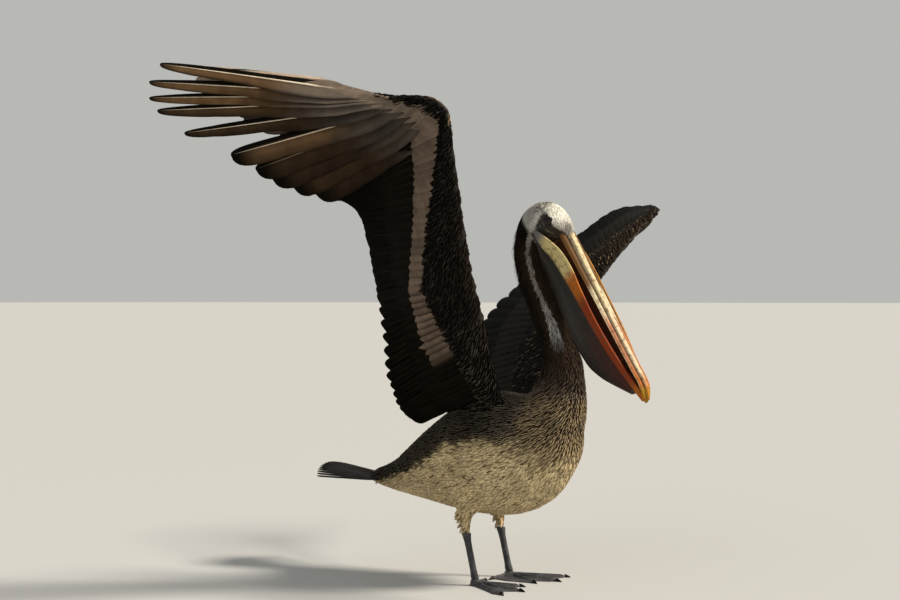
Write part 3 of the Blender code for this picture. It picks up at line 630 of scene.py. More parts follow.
# %% One skin from the fleshy parts
FLESH = ["trunk", "neck_lower", "neck_upper", "head", "thigh_left", "thigh_right"]
ARM = ("upper_arm", "forearm", "hand")
ARMS = [f"{part}_{side}" for side in SIDES for part in ARM]
PARTS = FLESH + ARMS
SKIN_VOXEL = 0.0042
SAME_POINT = 0.00001


def copies_joined(names, label):
    """The solids' copies as one mesh, with the doubled corners of their loose triangles merged."""
    deselect()
    for name in names:
        twin = put_in_scene(label, frame["nodes"][name].data.copy())
        twin.select_set(True)
        bpy.context.view_layer.objects.active = twin
    if len(names) > 1:
        bpy.ops.object.join()
    whole = bpy.context.view_layer.objects.active
    whole.name = label
    for layer in list(whole.data.uv_layers):
        whole.data.uv_layers.remove(layer)
    in_edit_mode(whole, lambda: bpy.ops.mesh.remove_doubles(threshold=SAME_POINT))
    return whole


def remeshed(obj, voxel, rounds):
    """The same shape as an even mesh, a little softened."""
    only(obj)
    apply_modifier(obj, "REMESH", mode="VOXEL", voxel_size=voxel, use_smooth_shade=True)
    apply_modifier(obj, "SMOOTH", factor=0.5, iterations=rounds)
    return obj


skin = remeshed(copies_joined(PARTS, "skin"), SKIN_VOXEL, 4)
print("skin", len(skin.data.vertices), "points")

# %% Which part each place on the skin belongs to
solid_points, solid_faces, face_owner = [], [], []
for number, name in enumerate(PARTS):
    mesh = frame["nodes"][name].data
    solid_faces.append(triangles_of(mesh) + sum(map(len, solid_points)))
    solid_points.append(points_of(mesh))
    face_owner += [number] * len(solid_faces[-1])
solid_tree = BVHTree.FromPolygons(np.vstack(solid_points).tolist(), np.vstack(solid_faces).tolist())
skin_points = points_of(skin.data)
skin_part = np.array(face_owner)[[solid_tree.find_nearest(Vector(p))[2] for p in skin_points]]
edges = read(skin.data.edges, "vertices", 2, np.int32)


def in_parts(part, *names):
    """Whether each number stands for one of the named parts."""
    return np.isin(part, [PARTS.index(name) for name in names])


def on_wing(part, side):
    return in_parts(part, *[f"{name}_{side}" for name in ARM])


def with_neighbours(start, values, ties):
    """Adds to each row of start the values at the other ends of that point's edges."""
    total = start.copy()
    for column in range(values.shape[1]):
        for near, far in (ties.T, ties.T[::-1]):
            total[:, column] += np.bincount(near, values[far, column], len(values))
    return total


def spread(values, rounds):
    """Averages values over neighbouring points of the skin, again and again."""
    values = np.array(values, float)
    count = np.bincount(edges.ravel(), minlength=len(values))[:, None] + 1.0
    for _ in range(rounds):
        values = with_neighbours(values, values, edges) / count
    return values


# %% Draw the skin in under the coat
COAT_DEPTHS = [0.0085, 0.0055, 0.0040, 0.0022, 0.0050, 0.0050] + [0.0030] * len(ARMS)  # as in PARTS
skin_depth = spread(np.array(COAT_DEPTHS)[skin_part][:, None], 25)
skin_points = skin_points - unit(spread(normals_of(skin.data), 3)) * skin_depth
# the face is drawn in under the root of the horn, so that the horn grows out of it
FACE_HALF_WIDTH = 0.0120
FACE_FLOOR, FACE_CEILING = -0.010, 0.0045
along, left, ridge = bill_terms(skin_points)
on_ridge = np.exp(-((left / 0.009) ** 2)) * ramp(ridge, 0.0, 0.006)
begins = -0.014 + 0.016 * on_ridge
share = ramp(along, begins, begins + 0.020 - 0.008 * on_ridge)
share = share * (along < 0.065) * ramp(ridge, -0.036, -0.030)
share = share * in_parts(skin_part, "head", "neck_upper")
drawn = BILL_ALONG * along[:, None] + BILL_LEFT * np.clip(left, -FACE_HALF_WIDTH, FACE_HALF_WIDTH)[:, None]
drawn = BILL_ROOT + drawn + BILL_RIDGE * np.clip(ridge, FACE_FLOOR, FACE_CEILING)[:, None]
skin_points = skin_points + (drawn - skin_points) * share[:, None]

# %% Fill the eye sockets
SOCKET_REACH = 0.0125
FILM_ROUNDS = 160


def film_over(points, middle):
    """Draws a hollow in the skin level with its rim, as a soap film would."""
    near = np.linalg.norm(points - middle, axis=1) < SOCKET_REACH
    ties = edges[near[edges].any(1)]
    count = np.bincount(ties.ravel(), minlength=len(points))[:, None]
    for _ in range(FILM_ROUNDS):
        total = with_neighbours(np.zeros_like(points), points, ties)
        points[near] = total[near] / count[near]
    return points


socket = {side: np.mean(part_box(f"eye_{side}"), axis=0) for side in SIDES}
for side in wings:
    skin_points = film_over(skin_points, socket[side])
skin.data.vertices.foreach_set("co", skin_points.astype(np.float32).ravel())
skin.data.update()
skin_normals = unit(spread(normals_of(skin.data), 2))

# %% [markdown]
# The lie of the feathers is a field of directions over the skin: back from the bill over the head,
# down the neck, back along the trunk, down the thighs, and out along the quills on the wings.
# Averaging neighbours melts these into one flow, so that no parting shows at a shoulder.

# %% The lie of the coat
def lie_of_coat(points, part):
    flow = -trunk_along[nearest_on(trunk_points, points)]
    flow[:, 2] -= 0.25 * ramp(birdwise(points)[2], 0.26, 0.12)
    down_neck = -neck_along[nearest_on(neck_points, points)]
    on_neck, on_head = in_parts(part, "neck_lower", "neck_upper"), in_parts(part, "head")
    flow[on_neck] = down_neck[on_neck]
    from_bill = points[on_head] - (BILL_ROOT + BILL_ALONG * 0.02)
    flow[on_head] = unit(from_bill) + 0.55 * down_neck[on_head]
    flow[in_parts(part, "thigh_left", "thigh_right")] = (0, 0, -1)
    for side, wing in wings.items():
        on_arm = on_wing(part, side)
        s = wing.locate(points[on_arm])[0]
        near_shoulder = (s < 0.6)[:, None]
        flow[on_arm] = unit(wing.read("tip", s) - wing.read("bone", s))
        flow[on_arm] -= 0.25 * wing.read("across", s) * near_shoulder
    return unit(flow)


flow = lie_of_coat(skin_points, skin_part)
for _ in range(3):
    flow = spread(flow, 12)
    flow = unit(flow - skin_normals * (flow * skin_normals).sum(-1, keepdims=True))
print("lie of the coat set on", len(flow), "points")

# %% [markdown]
# ## Markings
# Feathers and skin take their colour from one function of place, so a gap between feathers never
# shows a wrong colour. For each place it gives the colour of a feather's edge, of its middle and
# of its tip, and says where the skin is bare.

# %% Colours of the plumage
CHARCOAL = np.array((0.0074, 0.0057, 0.0036))
BLACKISH = np.array((0.0042, 0.0034, 0.0020))
BROWN = np.array((0.0240, 0.0150, 0.0090))
WARM_BROWN = np.array((0.0520, 0.0310, 0.0165))
NAPE_BROWN = np.array((0.0110, 0.0070, 0.0040))
NECK_BROWN = np.array((0.034, 0.022, 0.014))
TAUPE = np.array((0.125, 0.090, 0.066))
SILVER = np.array((0.230, 0.205, 0.165))
CREAM, PALE_CREAM = (0.560, 0.430, 0.235), (0.660, 0.530, 0.320)
# the darker buff of the lower belly is painted shade on the underside
LOW_BELLY_SHADE, LOW_BELLY_PALE_SHADE = (0.42, 0.30, 0.15), (0.48, 0.35, 0.19)
# the forehead's cream is made brighter as painted light, where the light falls on the front of the head
WHITE, FOREHEAD_CREAM_LIT, CHEEK = (0.66, 0.62, 0.55), (0.96, 0.92, 0.80), (0.94, 0.90, 0.83)
# the grey of the hind crown is painted shade on the back of the head
HIND_CROWN_SHADE, CROWN_FLECK = (0.52, 0.50, 0.46), (0.13, 0.115, 0.095)
STRIPE_HIGH, STRIPE_LOW = (0.38, 0.36, 0.34), (0.34, 0.30, 0.25)
# the rust and gold of the raised wing's wrist are a painted highlight on its brown front edge
WRIST_SUNLIT_RUST, WRIST_SUNLIT_GOLD, GOLD_DASH = (0.26, 0.15, 0.07), (0.50, 0.34, 0.18), (0.26, 0.18, 0.10)
FACE_GREY, FACE_SPECK = (0.030, 0.024, 0.018), (0.150, 0.130, 0.100)
EYE_RIM = (0.0050, 0.0034, 0.0024)

# %% Where the eyes sit
EYE_RADIUS = 0.0078
EYE_SUNK = 0.0036  # the middle of each eyeball lies this far under the face
EYE_SHIFT = {"right": 0.0122, "left": 0.0060}  # from the solid eyes, forward and down
CHEEK_BACK = heading(-0.9, 0, -0.45) * 0.024  # from an eye to the middle of its cheek
face_tree = BVHTree.FromPolygons(skin_points.tolist(), triangles_of(skin.data).tolist())
eye_middle = {}
for side, sign in SIDES.items():
    outside = socket[side] + heading(0.945, 0.0, -0.33) * EYE_SHIFT[side] + BILL_LEFT * (sign * 0.030)
    hit = face_tree.ray_cast(Vector(outside), Vector(-BILL_LEFT * sign), 0.060)[0]
    eye_middle[side] = np.array(hit) - BILL_LEFT * (sign * EYE_SUNK)
    print("eye", side, "moved", round(float(np.linalg.norm(eye_middle[side] - socket[side])), 4), "m")


def least_distance(points, middles):
    return np.minimum(*[np.linalg.norm(points - middle, axis=1) for middle in middles])


# %% The bare face
SOFT_EDGE = 0.0012  # half the width of the border between skin and feathers


def bare_face(points):
    """1 on the bare skin round the eyes and at the root of the bill, 0 on feathers."""
    along, left, ridge = bill_terms(points)
    wave = 0.0012 * ripple(points, 0.006, 2)
    # a wedge of feathers runs down the forehead to the ridge of the bill
    middle = -0.012 + 0.012 * ramp(along, -0.035, 0.005)
    wedge = 0.0050 + 0.0150 * np.clip((0.008 - along) / 0.048, 0, 1)
    beside = ramp(np.abs(left - middle) + wave, wedge - SOFT_EDGE, wedge + SOFT_EDGE)
    # the upper limit passes over the eye, the hind limit runs from the eye to the corner of the mouth
    top = 0.0130 - 0.003 * ramp(along, -0.022, -0.006) - 0.006 * ramp(along, -0.042, -0.050)
    below_top = ramp(ridge + wave, top + SOFT_EDGE, top - SOFT_EDGE)
    back = -0.0490 + 0.006 * ramp(ridge, -0.002, -0.012) + 0.004 * ramp(ridge, -0.012, -0.024)
    ahead = ramp(along + wave, back - SOFT_EDGE, back + SOFT_EDGE)
    on_face = ramp(ridge, -0.052, -0.046) * (np.abs(left + 0.012) < 0.06)
    return beside * below_top * ahead * on_face


# %% Trunk: charcoal above, cream below, with a streaked border between them
BORDER_FORWARD = (-0.30, -0.22, -0.145, -0.07, 0.0, 0.06, 0.12, 0.15)
BORDER_UP = (0.160, 0.182, 0.212, 0.248, 0.267, 0.270, 0.268, 0.268)  # where cream turns to charcoal
SPOTS = 0.055  # share of brown feathers on the cream


def trunk_colours(points, chance, wave):
    forward, _, up = birdwise(points)
    border = np.interp(forward, BORDER_FORWARD, BORDER_UP) + 0.009 * wave
    mottled = ramp(forward, 0.02, 0.09)
    pale = ramp(border - up, -0.016 - 0.020 * mottled, 0.014 + 0.046 * mottled)
    picked = np.where(chance < pale * ramp(pale, 0.15, 0.50), 1.0, pale**2)
    picked = np.maximum(picked, ramp(pale, 0.86, 0.98))
    dark = mix_chain(CHARCOAL, (WARM_BROWN, ramp(forward, 0.02, 0.13) * ramp(up, 0.20, 0.30) * 0.7),
                     (WARM_BROWN, 0.45 * ramp(up, 0.30, 0.24) * ramp(forward, -0.20, 0.0)))
    edge = mix(dark, CREAM, picked)
    middle = mix_chain(SILVER, (CREAM, 0.15 + 0.6 * ramp(pale, 0.0, 0.4)), (PALE_CREAM, picked))
    fine = 0.35 + 0.65 * ramp(forward, -0.02, 0.10) + 0.35 * pale
    middle = mix(edge, middle, np.clip(fine, 0, 1) * (0.55 + 0.45 * (chance * 7 % 1)))
    tip = mix(edge, middle, 0.25)
    spot = (pale > 0.5) & (np.random.default_rng(12).random(len(points)) < SPOTS + 0.20 * (pale < 0.985))
    middle[spot] = BROWN
    tip[spot] = mix(tip[spot], BROWN, 0.4)
    # the lower the belly, the darker: painted shade on the underside
    low_belly_shade = ramp(up, 0.16, 0.08) * pale * 0.6
    edge, middle = mix(edge, LOW_BELLY_SHADE, low_belly_shade), mix(middle, LOW_BELLY_PALE_SHADE, low_belly_shade)
    breast = ramp(forward, 0.070, 0.12) * ramp(up, 0.38, 0.34) * (1 - ramp(pale, 0.5, 0.9))
    breast = breast * (chance * 13 % 1 < 0.85)
    return mix(edge, WARM_BROWN * 1.5, breast * 0.75), mix(middle, CREAM, breast * 0.70), tip


# %% Neck: dark behind, one pale stripe down each side, dusky in front
STRIPE_ANGLE = 60  # degrees round the neck from its front


def neck_colours(points, chance, wave):
    up = birdwise(points)[2]
    at_step = nearest_on(neck_points, points)
    face = unit(np.cross(neck_along[at_step], (1.0, 0.0, 0.0)))
    face = np.where((face[:, 1] > 0)[:, None], -face, face)
    outward = points - neck_points[at_step]
    turned = np.degrees(np.arctan2(np.abs(outward[:, 0]), (outward * face).sum(-1)))
    width = 12 + 12 * ramp(up, 0.56, 0.46)
    stripe = ramp(np.abs(turned - STRIPE_ANGLE + 1.5 * wave), width, width - 7) * ramp(up, 0.440, 0.490)
    stripe = stripe * (0.80 + 0.20 * ramp(up, 0.68, 0.60))
    hind = mix_chain(NAPE_BROWN, (NECK_BROWN, ramp(turned, 125, 75)), (BROWN * 0.8, ramp(up, 0.42, 0.34)))
    pale = mix(STRIPE_LOW, STRIPE_HIGH, ramp(up, 0.56, 0.50))
    edge = mix(hind, pale, stripe * (0.70 + 0.30 * (chance < 0.8)))
    fleck = ramp(up, 0.44, 0.36) * (chance < 0.45) * 0.7
    return edge, mix_chain(hind * 1.5, (pale * 1.3, stripe), (SILVER, fleck)), edge, stripe


# %% Head: white, cream before, grey cheek, flecked crown, dark nape; the bright forehead is partly painted light, the grey hind crown painted shade
def head_colours(points, chance, wave, stripe):
    forward, _, up = birdwise(points)
    high = ramp(up, 0.680, 0.700)
    cheek = ramp(least_distance(points - CHEEK_BACK, eye_middle.values()), 0.030, 0.012) * 0.5
    crown = ramp(np.abs(forward - 0.110), 0.024, 0.010) * ramp(up, 0.700, 0.714)
    nape = ramp(0.073 + (0.690 - up) * 0.55 + 0.004 * wave - forward, -0.003, 0.007)
    # the bright forehead is partly painted light and the grey hind crown is painted shade
    head = mix_chain(
        WHITE, (FOREHEAD_CREAM_LIT, ramp(forward, 0.080, 0.110) * high), (CHEEK, cheek),
        (HIND_CROWN_SHADE, ramp(forward, 0.118, 0.090) * high * 0.85),
        (CROWN_FLECK, crown * np.where(chance < 0.50, 0.85, 0.35)), (NAPE_BROWN, nape * (1 - 0.9 * stripe)))
    return head * 0.92, head, head


# %% Wings: a dark band in front, a pale stripe before the quills below, silver streaks above
def wing_colours(wing, points, chance):
    s, q, high = wing.locate(points)
    wave = ripple(points, 0.022, 3)
    # the wings' near-black small coverts are dark plumage darkened further as painted shade
    dark = mix_chain(BLACKISH * 0.5, (BROWN, ramp(q, 0.35, 0.0) * 0.5),
                     (BROWN * 0.9, high * (wing.side == "left") * ramp(s, 1.1, 1.6)))
    stripe_from = 1.02 - 0.12 * ramp(s, 1.95, 2.15) + 0.10 * ramp(s, 0.8, 0.3)
    pale = ramp(q + 0.10 * wave, stripe_from, stripe_from + 0.10) * ramp(s, 0.45, 0.60)
    pale = pale * (1 - ramp(q + 0.05 * wave, 1.62, 1.72) * (s < WRIST)) * ~high
    patchy = np.where(s > WRIST, ramp(ripple(points, 0.014, 5), -0.5, 0.3), 1.0)
    edge = mix(dark, TAUPE * 0.8, pale * patchy)
    silver = np.where(high, 0.16, 0.10 + 0.20 * ramp(q, 0.30, 0.0) + 0.55 * ramp(s, 0.8, 0.15))
    silver = np.clip(silver, 0, 1) * (0.15 + 0.85 * chance**2)
    middle = mix_chain(edge, (SILVER, silver), (TAUPE * 1.25, pale))
    middle[high & (chance < 0.10) & wing.folded] = GOLD_DASH
    # a painted highlight where the light catches the front edge of the raised wing's wrist
    wrist = ramp(np.abs(s - 2.05), 0.22, 0.05) * ramp(q, 0.35, 0.05) * (not wing.folded)
    edge, middle = mix(edge, WRIST_SUNLIT_RUST, wrist * 0.6), mix(middle, WRIST_SUNLIT_GOLD, wrist * 0.8)
    return edge, middle, mix(edge, middle, 0.45)


# %% All the markings together
def markings(points, part):
    """Colours of edge, middle and tip of the feather at each point, and the bareness of the skin."""
    forward, _, up = birdwise(points)
    chance = np.random.default_rng(11).random(len(points))
    wave = ripple(points, 0.030)
    on_neck = in_parts(part, "neck_lower", "neck_upper", "head")
    *neck, stripe = neck_colours(points, chance, wave)
    # the neck's colours hold fully on the neck and fade where it broadens into the breast
    joined = np.maximum(ramp(forward, 0.045, 0.085), on_neck) * ramp(up, 0.335, 0.405)
    on_head = ramp(up, 0.640, 0.668) * on_neck
    colours = trunk_colours(points, chance, wave)
    for layer, share in ((neck, joined), (head_colours(points, chance, wave, stripe), on_head)):
        colours = [mix(below, above, share) for below, above in zip(colours, layer)]
    for side, wing in wings.items():
        on_arm = on_wing(part, side)
        if on_arm.any():
            for colour, new in zip(colours, wing_colours(wing, points[on_arm], chance[on_arm])):
                colour[on_arm] = new
    return *colours, bare_face(points) * on_neck


skin_edge, skin_middle, _, skin_bare = markings(skin_points, skin_part)
eye_away = least_distance(skin_points, eye_middle.values())
face_hue = mix_chain(FACE_GREY, (FACE_SPECK, ramp(ripple(skin_points, 0.0016, 4), 0.35, 0.85)),
                     (EYE_RIM, ramp(eye_away, 0.0135, 0.0100)))
paint(skin.data, mix(skin_edge * 0.7 + skin_middle * 0.3, face_hue, skin_bare))

# %% [markdown]
# The skin also carries the map that baking uses. Blender unwraps it by its own shape, and every
# small feather later takes a tiny patch of that map at the place of its root.

# %% Unwrap the skin
in_edit_mode(skin, lambda: bpy.ops.uv.smart_project(angle_limit=math.radians(66), island_margin=0.002))
skin.data.uv_layers[0].name = "OFBake"
finish_piece(skin, skin_material, "feathered_body", *FLESH, *ARMS)
skin_tris = triangles_of(skin.data)
tri_loops = read(skin.data.loop_triangles, "loops", 3, np.int32)
tri_uv = read(skin.data.uv_layers[0].uv, "vector", 2)[tri_loops]
skin_tree = BVHTree.FromPolygons(skin_points.tolist(), skin_tris.tolist())
print("skin unwrapped,", len(skin_tris), "triangles")

# %% [markdown]
# ## One small feather
# A body feather is modelled once. A rod with four sides, laid along Y, is cut across twice and its
# far end is drawn to a point. Seen end on, it is a flat diamond: two edges, a raised middle and an
# underside. Thirteen faces are enough for something repeated tens of thousands of times.

# %% Model the master feather
def template_of(obj):
    """Points and faces of a modelled master, after which the master itself goes."""
    faces = [tuple(face.vertices) for face in obj.data.polygons]
    points = points_of(obj.data)
    bpy.data.objects.remove(obj)
    quads, tris = ([face for face in faces if len(face) == sides] for sides in (4, 3))
    return points, np.array(quads, int).reshape(-1, 4), np.array(tris, int).reshape(-1, 3)


def rod_along_y(sides, cuts):
    """A rod from 0 to 1 along Y, cut across in some places and left in edit mode."""
    deselect()
    bpy.ops.mesh.primitive_cylinder_add(
        vertices=sides, radius=1, depth=1, location=(0, 0.5, 0), rotation=(-math.pi / 2, 0, 0))
    bpy.ops.object.transform_apply(location=True, rotation=True, scale=True)
    bpy.ops.object.mode_set(mode="EDIT")
    for y in cuts:
        bpy.ops.mesh.select_all(action="SELECT")
        bpy.ops.mesh.bisect(plane_co=(0, y, 0), plane_no=(0, 1, 0))
    return bpy.context.object


FEATHER_STATIONS = np.array((0.0, 0.38, 0.78, 1.0))
STATION_WIDTHS = np.array((0.45, 1.0, 0.82, 0.0))
STATION_RISE = (-0.10, 0.45, 0.80, 1.0)
FEATHER_RIDGE, FEATHER_KEEL = 0.10, -0.03  # the raised middle and the underside, in half widths
master = rod_along_y(4, FEATHER_STATIONS[1:3])
shape = bmesh.from_edit_mesh(master.data)
for vert in shape.verts:
    vert.select_set(vert.co.y > 0.999)
shape.select_flush(True)
bmesh.update_edit_mesh(master.data)
bpy.ops.mesh.merge(type="CENTER")
bpy.ops.mesh.select_all(action="SELECT")
turn_faces_out()
bpy.ops.object.mode_set(mode="OBJECT")
feather_points, feather_quads, feather_tris = template_of(master)
feather_station = np.abs(feather_points[:, 1:2] - FEATHER_STATIONS).argmin(1)
print("master feather:", len(feather_points), "points,",
      len(feather_quads) * 2 + len(feather_tris), "triangles")

# %% [markdown]
# ## Planting
# Roots are scattered evenly, as they grow: many random places are tried, and one is dropped if
# another root is too near. From each root the feather runs along the lie of the coat, touching
# down on the skin at each of its stations and rising a little towards its tip, like a roof tile.

# %% Even scatter of roots
TRIES = 3.2  # places tried for each that fits


def scatter(wanted, spacing_of, seed):
    """Random places on chosen triangles of the skin, no two nearer than the spacing there."""
    draw = np.random.default_rng(seed)
    corners = skin_points[skin_tris[wanted]]
    area = np.linalg.norm(np.cross(corners[:, 1] - corners[:, 0], corners[:, 2] - corners[:, 0]), axis=1) / 2
    spacing = spacing_of(corners.mean(1))
    weight = area / spacing**2
    total = int(weight.sum() * TRIES)
    face = draw.choice(len(wanted), total, p=weight / weight.sum())
    a, b = draw.random(total), draw.random(total)
    a, b = np.where(a + b > 1, 1 - a, a), np.where(a + b > 1, 1 - b, b)
    bary = np.stack([1 - a - b, a, b], axis=1)
    places = (corners[face] * bary[:, :, None]).sum(1)
    tree = KDTree(total)
    for k, p in enumerate(places.tolist()):
        tree.insert(p, k)
    tree.balance()
    free = np.ones(total, bool)
    radius = spacing[face]
    keep = []
    for k, p in enumerate(places.tolist()):
        if free[k]:
            keep.append(k)
            for _, other, _ in tree.find_range(p, radius[k]):
                free[other] = False
    return places[keep], wanted[face[keep]], bary[keep]


# %% Let each feather follow the skin
def touch_down(guess, reach, before):
    """The nearest places on the skin and the way it faces there; a far place is left in the air."""
    found = [skin_tree.find_nearest(Vector(p), 0.05) for p in guess.tolist()]
    hit = np.array([p if f[0] is None else f[0] for f, p in zip(found, guess.tolist())])
    facing = unit(skin_normals[skin_tris[[f[2] or 0 for f in found]]].mean(1))
    far = np.linalg.norm(hit - guess, axis=1) > 0.6 * reach
    hit[far], facing[far] = guess[far], before[far]
    return hit, facing


def spines(draw, roots, way, normal, length, lift):
    """Four places along each feather, and the way up at each."""
    centre, upward = np.empty((2, len(roots), 4, 3))
    here, facing, step_way = roots.copy(), normal, way
    for k in range(4):
        if k:
            reach = (FEATHER_STATIONS[k] - FEATHER_STATIONS[k - 1]) * length
            hit, facing = touch_down(here + step_way * reach[:, None], reach, upward[:, k - 1])
            step_way = unit(0.6 * unit(hit - here) + 0.4 * step_way)
            here = hit
        above = lift * STATION_RISE[k] * draw.uniform(0.85, 1.15, len(roots))
        centre[:, k] = here + facing * above[:, None]
        upward[:, k] = facing
    return centre, upward


# %% Lay feathers on the skin
BAKE_PATCH = 0.003  # side of each feather's patch on the baking map
MOST_IN_A_PIECE = 8800


def plant(name, roots, tri, bary, length, width, lift, colours, material, seed, curl=0.0):
    """Lays one feather at every root and joins them in pieces small enough to export."""
    draw = np.random.default_rng(seed)
    count = len(roots)
    way, normal = (unit((field[skin_tris[tri]] * bary[:, :, None]).sum(1)) for field in (flow, skin_normals))
    way = unit(way + np.cross(way, normal) * draw.normal(0, 0.13, count)[:, None])
    length = length * draw.uniform(0.85, 1.18, count)
    width = width * draw.uniform(0.85, 1.15, count)
    centre, upward = spines(draw, roots, way, normal, length, lift)
    centre[:, 3] += upward[:, 3] * (curl * length)[:, None]
    along = unit(np.gradient(centre, axis=1))
    across = unit(np.cross(along, upward))
    upward = unit(np.cross(across, along))
    station = feather_station
    half = (STATION_WIDTHS[None] * width[:, None] / 2)[:, station]
    x, _, z = feather_points.T
    thick = np.where(z > 0.3, FEATHER_RIDGE, np.where(z < -0.3, FEATHER_KEEL, 0.0))
    points = (centre[:, station] + across[:, station] * (x[None] * half)[..., None]
              + upward[:, station] * (thick[None] * half)[..., None])
    edge, middle, tip = colours
    tint = draw.uniform(0.84, 1.16, (count, 1, 1))
    hue = np.repeat(edge[:, None], len(x), axis=1) * tint
    # each feather's root is darkened: painted shade where it lies under the feathers before it
    hue[:, station == 0] *= 0.7
    hue[:, station == 3] = tip[:, None] * tint
    line = np.repeat(middle[:, None], len(x), axis=1) * tint
    patch = (tri_uv[tri] * bary[:, :, None]).sum(1)
    vane = np.stack([x / 2 + 0.5, feather_points[:, 1]], axis=1)
    bake = patch[:, None, :] + (vane - 0.5)[None] * BAKE_PATCH
    pieces = math.ceil(count / MOST_IN_A_PIECE)
    order = np.argsort(roots @ np.array([0.3, 0.2, 1.0]), kind="stable")
    for number, chosen in enumerate(np.array_split(order, pieces)):
        shift = (np.arange(len(chosen)) * len(x))[:, None, None]
        faces = [(kind[None] + shift).reshape(-1, kind.shape[1]) for kind in (feather_quads, feather_tris)]
        rows = [values[chosen].reshape(-1, values.shape[-1]) for values in (points, bake, hue, line)]
        obj = mesh_object(f"{name}_{number + 1}", rows[0], faces, np.tile(vane, (len(chosen), 1)), rows[1],
                          coat=rows[2], streak=rows[3])
        finish_piece(obj, material, "feathered_body")
    print(name, count, "feathers in", pieces, "pieces")


# %% [markdown]
# The coat is finest on the face and coarsest on the trunk and wings. Body feathers are long and
# narrow with a pale streak, which draws the fine wavy lines over the flanks. The hind neck carries
# a ridge of longer bristles that stand out a little.

# %% Regions of the coat
tri_part = skin_part[skin_tris[:, 0]]
tri_forward, _, tri_up = birdwise(skin_points[skin_tris].mean(1))
on_trunk = in_parts(tri_part, "trunk")
on_thighs = in_parts(tri_part, "thigh_left", "thigh_right")
neck_like = in_parts(tri_part, "neck_lower", "neck_upper")
head_like = in_parts(tri_part, "head") | (neck_like & (tri_up > 0.655))
neck_like = neck_like & ~head_like
arm_like = ~(on_trunk | on_thighs | neck_like | head_like)
neck_rows = smooth_row(NECK, np.linspace(0.0, 0.62, 40))
behind_neck = tri_forward < np.interp(tri_up, neck_rows[:, 1], neck_rows[:, 0]) - 0.024
nape_ridge = (tri_up > 0.555) & (tri_up < 0.685) & ~on_trunk & ~arm_like & behind_neck


def on_belly(p):
    """1 on the belly, where the feathers are broader and lie closer."""
    forward, _, up = birdwise(p)
    return ramp(np.interp(forward, BORDER_FORWARD, BORDER_UP) - up, -0.01, 0.04)


def low_on_neck(p):
    return ramp(birdwise(p)[2], 0.46, 0.34)


# %% Plant the whole coat
# where, spacing, length, width, lift, material, seed and curl; a size is a number, or two numbers
# and a function of place that tells how much of the second to add
COAT = {
    "body_feathers": (on_trunk,
                      (0.0034, 0.0008, on_belly), (0.018, 0.006, on_belly), (0.0048, 0.0034, on_belly),
                      (0.0042, -0.0018, on_belly), coat_material, 21, 0.0),
    "thigh_feathers": (on_thighs & (tri_up < 0.16), 0.0024, 0.0100, 0.0038, 0.0018, coat_material, 25, 0.0),
    "neck_feathers": (neck_like, (0.0027, 0.0008, low_on_neck), (0.013, 0.006, low_on_neck),
                      (0.0034, 0.0016, low_on_neck), 0.0034, coat_material, 31, 0.0),
    "head_feathers": (head_like, 0.0017, 0.0062, 0.0020, 0.0010, fluff_material, 41, 0.0),
    "nape_bristles": (nape_ridge, 0.0036, 0.017, 0.0018, 0.0070, coat_material, 45, 0.10),
    "small_coverts": (arm_like, 0.0050, 0.0180, 0.0066, 0.0018, coat_material, 51, 0.0),
}


def sized(size, p):
    return size[0] + size[1] * size[2](p) if isinstance(size, tuple) else np.full(len(p), size)


for name, (where, spacing, length, width, lift, material, seed, curl) in COAT.items():
    roots, tri, bary = scatter(np.nonzero(where)[0], lambda p: sized(spacing, p), seed)
    *colours, bare = markings(roots, tri_part[tri])
    keep = bare < 0.5
    roots, tri, bary = roots[keep], tri[keep], bary[keep]
    plant(name, roots, tri, bary, sized(length, roots), sized(width, roots), sized(lift, roots),
          [colour[keep] for colour in colours], material, seed + 1, curl)

# %% [markdown]
# ## Long quills
# A flight feather is modelled once too. A grid becomes a thin shell with Solidify, and a tapered
# six-sided rod is its shaft. Each copy is bent along its own line, cambered, and given its own
# width on either side of the shaft. Small nicks in the edges keep the feathers from being twins.

# %% Model the master quill
deselect()
bpy.ops.mesh.primitive_grid_add(x_subdivisions=6, y_subdivisions=22, size=2)
apply_modifier(bpy.context.object, "SOLIDIFY", thickness=0.2, offset=0.0)
vane_points, vane_quads, vane_tris = template_of(bpy.context.object)
vane_points[:, 1] = 1 - (1 - (vane_points[:, 1] + 1) / 2) ** 1.5  # rows lie closer towards the tip
vane_points[:, 2] = np.sign(vane_points[:, 2])
shaft_master = rod_along_y(6, np.linspace(0, 1, 12)[1:-1])
for y_end in (0.0, 1.0):
    shape = bmesh.from_edit_mesh(shaft_master.data)
    for face in shape.faces:
        face.select_set(all(abs(v.co.y - y_end) < 1e-4 for v in face.verts))
    bmesh.update_edit_mesh(shaft_master.data)
    bpy.ops.mesh.poke()
bpy.ops.object.mode_set(mode="OBJECT")
shaft_points, shaft_quads, shaft_tris = template_of(shaft_master)
print("master quill:", len(vane_quads) * 2, "+", len(shaft_quads) * 2 + len(shaft_tris), "triangles")

# %% Lay one quill along a line
SHAFT_REACH = 0.97
SHAFT_MARK = 9.0  # stands for the shaft where a place across the vane is asked for
VANE_THICK = 0.0006
ROOT_WIDTH = 0.5  # share of the full width at the root
TANGENT_STEP = 0.01


